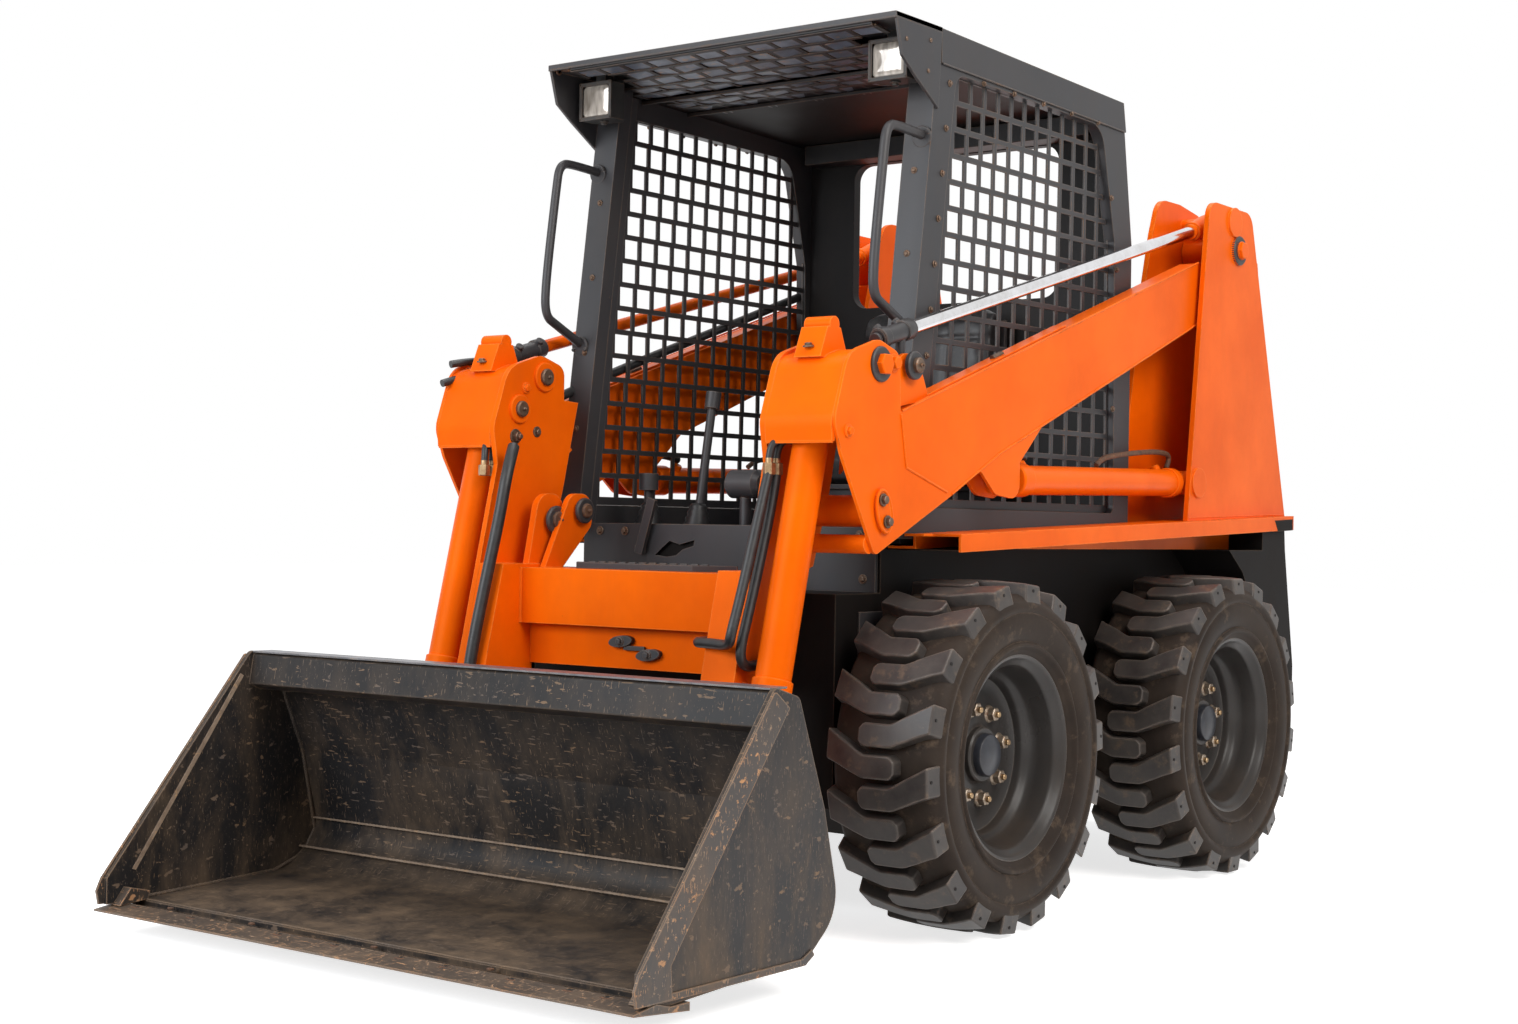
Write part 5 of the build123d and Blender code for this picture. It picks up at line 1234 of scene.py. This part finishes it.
def bucket_detail():
    """The bucket's weld beads, edge holes, corner blocks, seam lines, lip, pin ends and back ribs."""
    beads = Shape()
    inside = [(-1195, 67), (-830, 82), (-745, 112), (-712, 165), (-752, 349), (-838, 553)]
    beads.bead([(CHEEK_INNER_X - 1, *point) for point in inside], 4.5)
    beads.both_sides()
    beads.bead([(-730, -1198, 65), (730, -1198, 65)], 3.0, 6)
    beads.bead([(-728, -838, 556), (728, -838, 556)], 3.2, 6)
    piece("bucket_weld_beads", beads, BUCKET, "bucket", bevel=0)
    rings, holes = Shape(), Shape()
    for x in EDGE_HOLES_X:
        place = (x, BUCKET_TIP + 62, 58)
        rings.turned([(19, -1), (19, 1.0), (15, 1.6)], place, EDGE_FACE, 28)
        # The near-black disc is painted shade of the hole's depth.
        holes.turned([(13, -1), (13, 2.0), (11, 2.2)], place, EDGE_FACE, 24)
    for x in (-600, -340, 20, 330, 710, -728):
        rings.turned([(7, -1), (7, 2.4), (4, 3.4)], (x, BUCKET_TIP + 84, 61), EDGE_FACE, 18)
    piece("edge_hole_rings", rings, RUSTY, "bucket", bevel=0.5, slot="worn_steel")
    piece("edge_holes", holes, HOLE_SHADE, "bucket", bevel=0, slot="worn_steel")
    strips, blocks = Shape(), Shape()
    # Inside the cheeks: a bright line parallel to the front edge, and the corner blocks.
    cheek = CHEEK_INNER_X
    strips.side_plate([(-1219, 131), (-1211, 128), (-929, 531), (-937, 536)], cheek - 3, cheek)
    blocks.side_plate([(-1268, 60), (-1196, 66), (-1190, 84), (-1240, 96)], cheek - 26, cheek)
    # Outside them: the wear strip along the bottom.
    outline = [(-1262, 60), (-800, 60), (-772, 76), (-780, 88), (-810, 74), (-1262, 74)]
    blocks.side_plate(outline, BUCKET_HALF_WIDTH - 8, BUCKET_HALF_WIDTH - 2.5)
    strips.both_sides()
    piece("bucket_corner_blocks", blocks.both_sides(), EDGE, "bucket", bevel=1.0, slot="worn_steel")
    for station, height in ((-718, 192), (-757, 130)):
        strips.bead([(-729, station, height), (729, station, height)], 2.6, 6)
    piece("bucket_seam_lines", strips, TAN, "bucket", bevel=0, slot="worn_steel")
    lip = Shape()
    lip.block((-728, -905, 582), (728, -850, 586))
    for x in (-600, -300, 0, 300, 600):
        lip.side_plate([(-878, 584.5), (-848, 584.5), (-846, 560), (-872, 560)], x - 4, x + 4)
    piece("bucket_lip_ribs", lip, LIP, "bucket", bevel=1.0)
    pins = Shape()
    for x, point, size in ((427, BUCKET_PIVOT, 21), (TILT_X + 40, TILT_EYE, 17)):
        pins.pin_end((x, *point), OUT, size, 9)
    piece("bucket_pin_ends", pins.both_sides(), ZINC, "bucket", bevel=0.8)
    ribs = Shape()
    for x in (-560, 560):
        ribs.side_plate([(-741, 349), (-700, 190), (-640, 200), (-700, 340)], x - 6, x + 6)
    piece("bucket_back_ribs", ribs, BUCKET, "bucket", bevel=1.2)


bucket_detail()


# ---- rear and flanks
def rear_detail():
    """The door's handle, seams and screws, the hood's side vents, the tail lamps and the tow pin."""
    rear = 1758.0
    door = Shape()
    door.block((-330, rear, 700), (-250, rear + 4, 790))
    bow = ((2, 770), (16, 766), (17, 722), (2, 716))
    door.tube([(-312, rear + proud, height) for proud, height in bow], 6, 12)
    for height in (462, 800, 1120):
        door.block((-372, rear, height - 3), (372, rear + 3, height + 3))
    piece("rear_door_handle", door, BLACK, "rear_door", bevel=1.0)
    screws = Shape()
    for height in (520, 560, 780, 820):
        screws.bolt((330, rear + 6, height), BACKWARD, 7, 5, 11)
    for x in (-350, 0, 350):
        screws.bolt((x, rear, 1095), BACKWARD, 6, 4, 10)
    piece("rear_door_screws", screws, ZINC, "rear_door", bevel=0.5)
    vents = Shape()
    for station in range(1040, 1391, 50):
        vents.block((431, station, 960), (434, station + 26, 1150))
    piece("hood_side_vents", vents.both_sides(), BLACK, bevel=1.0)
    tail = Shape()
    tail.block((503, 1722, 640), (587, 1746, 700))
    piece("tail_lamps", tail.both_sides(), RED_LENS, bevel=2.5, slot="lamp_housing")
    pin = Shape()
    pin.turned([(15, -118), (15, 70), (20, 71), (20, 78)], (0, 1735, 360), UP, 28)
    pin.tube([(0, 1735, 436), (0, 1718, 452), (0, 1735, 468), (0, 1752, 452), (0, 1735, 436)], 4, 8)
    piece("tow_pin", pin, STEEL, bevel=0.8, slot="worn_steel")


def flank_detail():
    """The chain-case covers between the wheels, the fender's black faces with a painted shade sheet under its
    shelf, and the sill's bolts.
    """
    screws, covers = Shape(), Shape()
    covers.block((440, 330, 330), (447, 780, 470))
    covers.block((440, -200, 560), (446, 300, 700))
    for station in range(350, 780, 68):
        for height in (344, 456):
            screws.bolt((447, station, height), OUT, 6, 5, 10)
    screws.both_sides()
    covers.both_sides()
    piece("flank_screws", screws, ZINC, bevel=0.5)
    piece("chain_case_covers", covers, BLACK, bevel=1.5)
    patch = Shape()
    patch.side_plate([(1590, 924), (1716, 929), (1716, 897), (1612, 893)], 630, 632.6)
    # Under the shelf, a near-black sheet: the underside's black paint, darkened as painted shade.
    patch.side_plate([(-84, 836), (1721, 900), (1721, 903), (-84, 839)], 441.5, 625)
    piece("fender_black_faces_and_shade", patch.both_sides(), HULL_SHADE, bevel=1.0)
    sill = Shape()
    for height, places in ((868, (-380, -300, 120, 260, 390)), (770, (-400, -120, 160, 400))):
        for x in places:
            sill.bolt((x, -122.3, height), FORWARD, 7, 5, 11)
    piece("sill_bolts", sill, ZINC, bevel=0.5)


rear_detail()
flank_detail()


# ---- floor, backdrop, lights
FLOOR_HALF = 30.0
FLOOR_LIFT = 0.74         # added to the lit floor for the camera, so that it renders white
FILL = 0.34               # world light on the object; the camera sees it as 1, which is white
CAMERA_PLACE = (3.0735, -4.2982, 0.8832)
CAMERA_YAW, CAMERA_PITCH, CAMERA_ROLL = 37.0, 0.4, 0.9
SHOT_WIDTH = 1518
SHOT_FOCUS = 2128.0       # focal length in the unit of SHOT_WIDTH


def seen_directly(tree):
    """1 for camera, glossy and transmission rays."""
    path = tree.nodes.new("ShaderNodeLightPath")
    seen = maths(tree, "MAXIMUM", (path, "Is Camera Ray"), (path, "Is Transmission Ray"))
    return maths(tree, "MAXIMUM", seen, (path, "Is Glossy Ray"))


def white_floor():
    """A matt floor that takes the shadows, and that the camera sees as white."""
    mesh = bpy.data.meshes.new("floor")
    corners = [(x * FLOOR_HALF, y * FLOOR_HALF, 0) for x, y in ((-1, -1), (1, -1), (1, 1), (-1, 1))]
    mesh.from_pydata(corners, [], [(0, 1, 2, 3)])
    floor = new_object("floor", mesh)
    m, t, s, _ = material("floor_white")
    s.inputs["Base Color"].default_value = (0.82, 0.82, 0.82, 1)
    s.inputs["Roughness"].default_value = 1.0
    s.inputs["Specular IOR Level"].default_value = 0.0
    glow = node(t, "ShaderNodeEmission")
    link(t, *maths(t, "MULTIPLY", seen_directly(t), FLOOR_LIFT), glow, "Strength")
    add = t.nodes.new("ShaderNodeAddShader")
    link(t, s, 0, add, 0)
    link(t, glow, 0, add, 1)
    link(t, add, 0, t.nodes["Material Output"], "Surface")
    mesh.materials.append(m)


def white_world():
    """A weak fill light that the camera sees as a white backdrop."""
    world = bpy.data.worlds.new("studio")
    bpy.context.scene.world = world
    world.use_nodes = True
    t = world.node_tree
    background = t.nodes["Background"]
    strength = maths(t, "ADD", maths(t, "MULTIPLY", seen_directly(t), 1 - FILL), FILL)
    link(t, *strength, background, "Strength")
    background.inputs["Color"].default_value = (1, 1, 1, 1)


def area_light(name, place, target, size, power, colour=(1, 1, 1)):
    data = bpy.data.lights.new(name, "AREA")
    data.shape = "RECTANGLE"
    data.size, data.size_y = size
    data.energy = power
    data.color = colour
    obj = new_object(name, data)
    obj.location = place
    obj.rotation_euler = (Vector(target) - Vector(place)).to_track_quat("-Z", "Y").to_euler()


def photo_camera():
    """The photograph's camera: its place, its lens and its slight tilt."""
    data = bpy.data.cameras.new("camera")
    camera = new_object("camera", data)
    data.sensor_fit = "HORIZONTAL"
    data.sensor_width = 36.0
    data.lens = SHOT_FOCUS / SHOT_WIDTH * data.sensor_width
    yaw, pitch, roll = (math.radians(turn) for turn in (CAMERA_YAW, CAMERA_PITCH, CAMERA_ROLL))
    look = Vector((-math.sin(yaw) * math.cos(pitch), math.cos(yaw) * math.cos(pitch), math.sin(pitch)))
    right = look.cross(Vector(UP)).normalized()
    up = right.cross(look)
    right_rolled = math.cos(roll) * right + math.sin(roll) * up
    up_rolled = math.cos(roll) * up - math.sin(roll) * right
    turn = Matrix((right_rolled, up_rolled, -look)).transposed().to_4x4()
    camera.matrix_world = Matrix.Translation(CAMERA_PLACE) @ turn
    bpy.context.scene.camera = camera


white_floor()
white_world()
area_light("key", (4.5, -1.5, 4.2), (0, 0, 0.9), (3.0, 3.0), 235, (1.0, 0.97, 0.93))
area_light("front", (-1.5, -6.0, 3.0), (0, 0, 0.8), (4.0, 3.0), 290, (0.90, 0.95, 1.0))
area_light("top", (0, 0.5, 6.0), (0, 0, 0), (4.0, 4.0), 215)
photo_camera()
bpy.context.scene.view_settings.view_transform = "Standard"
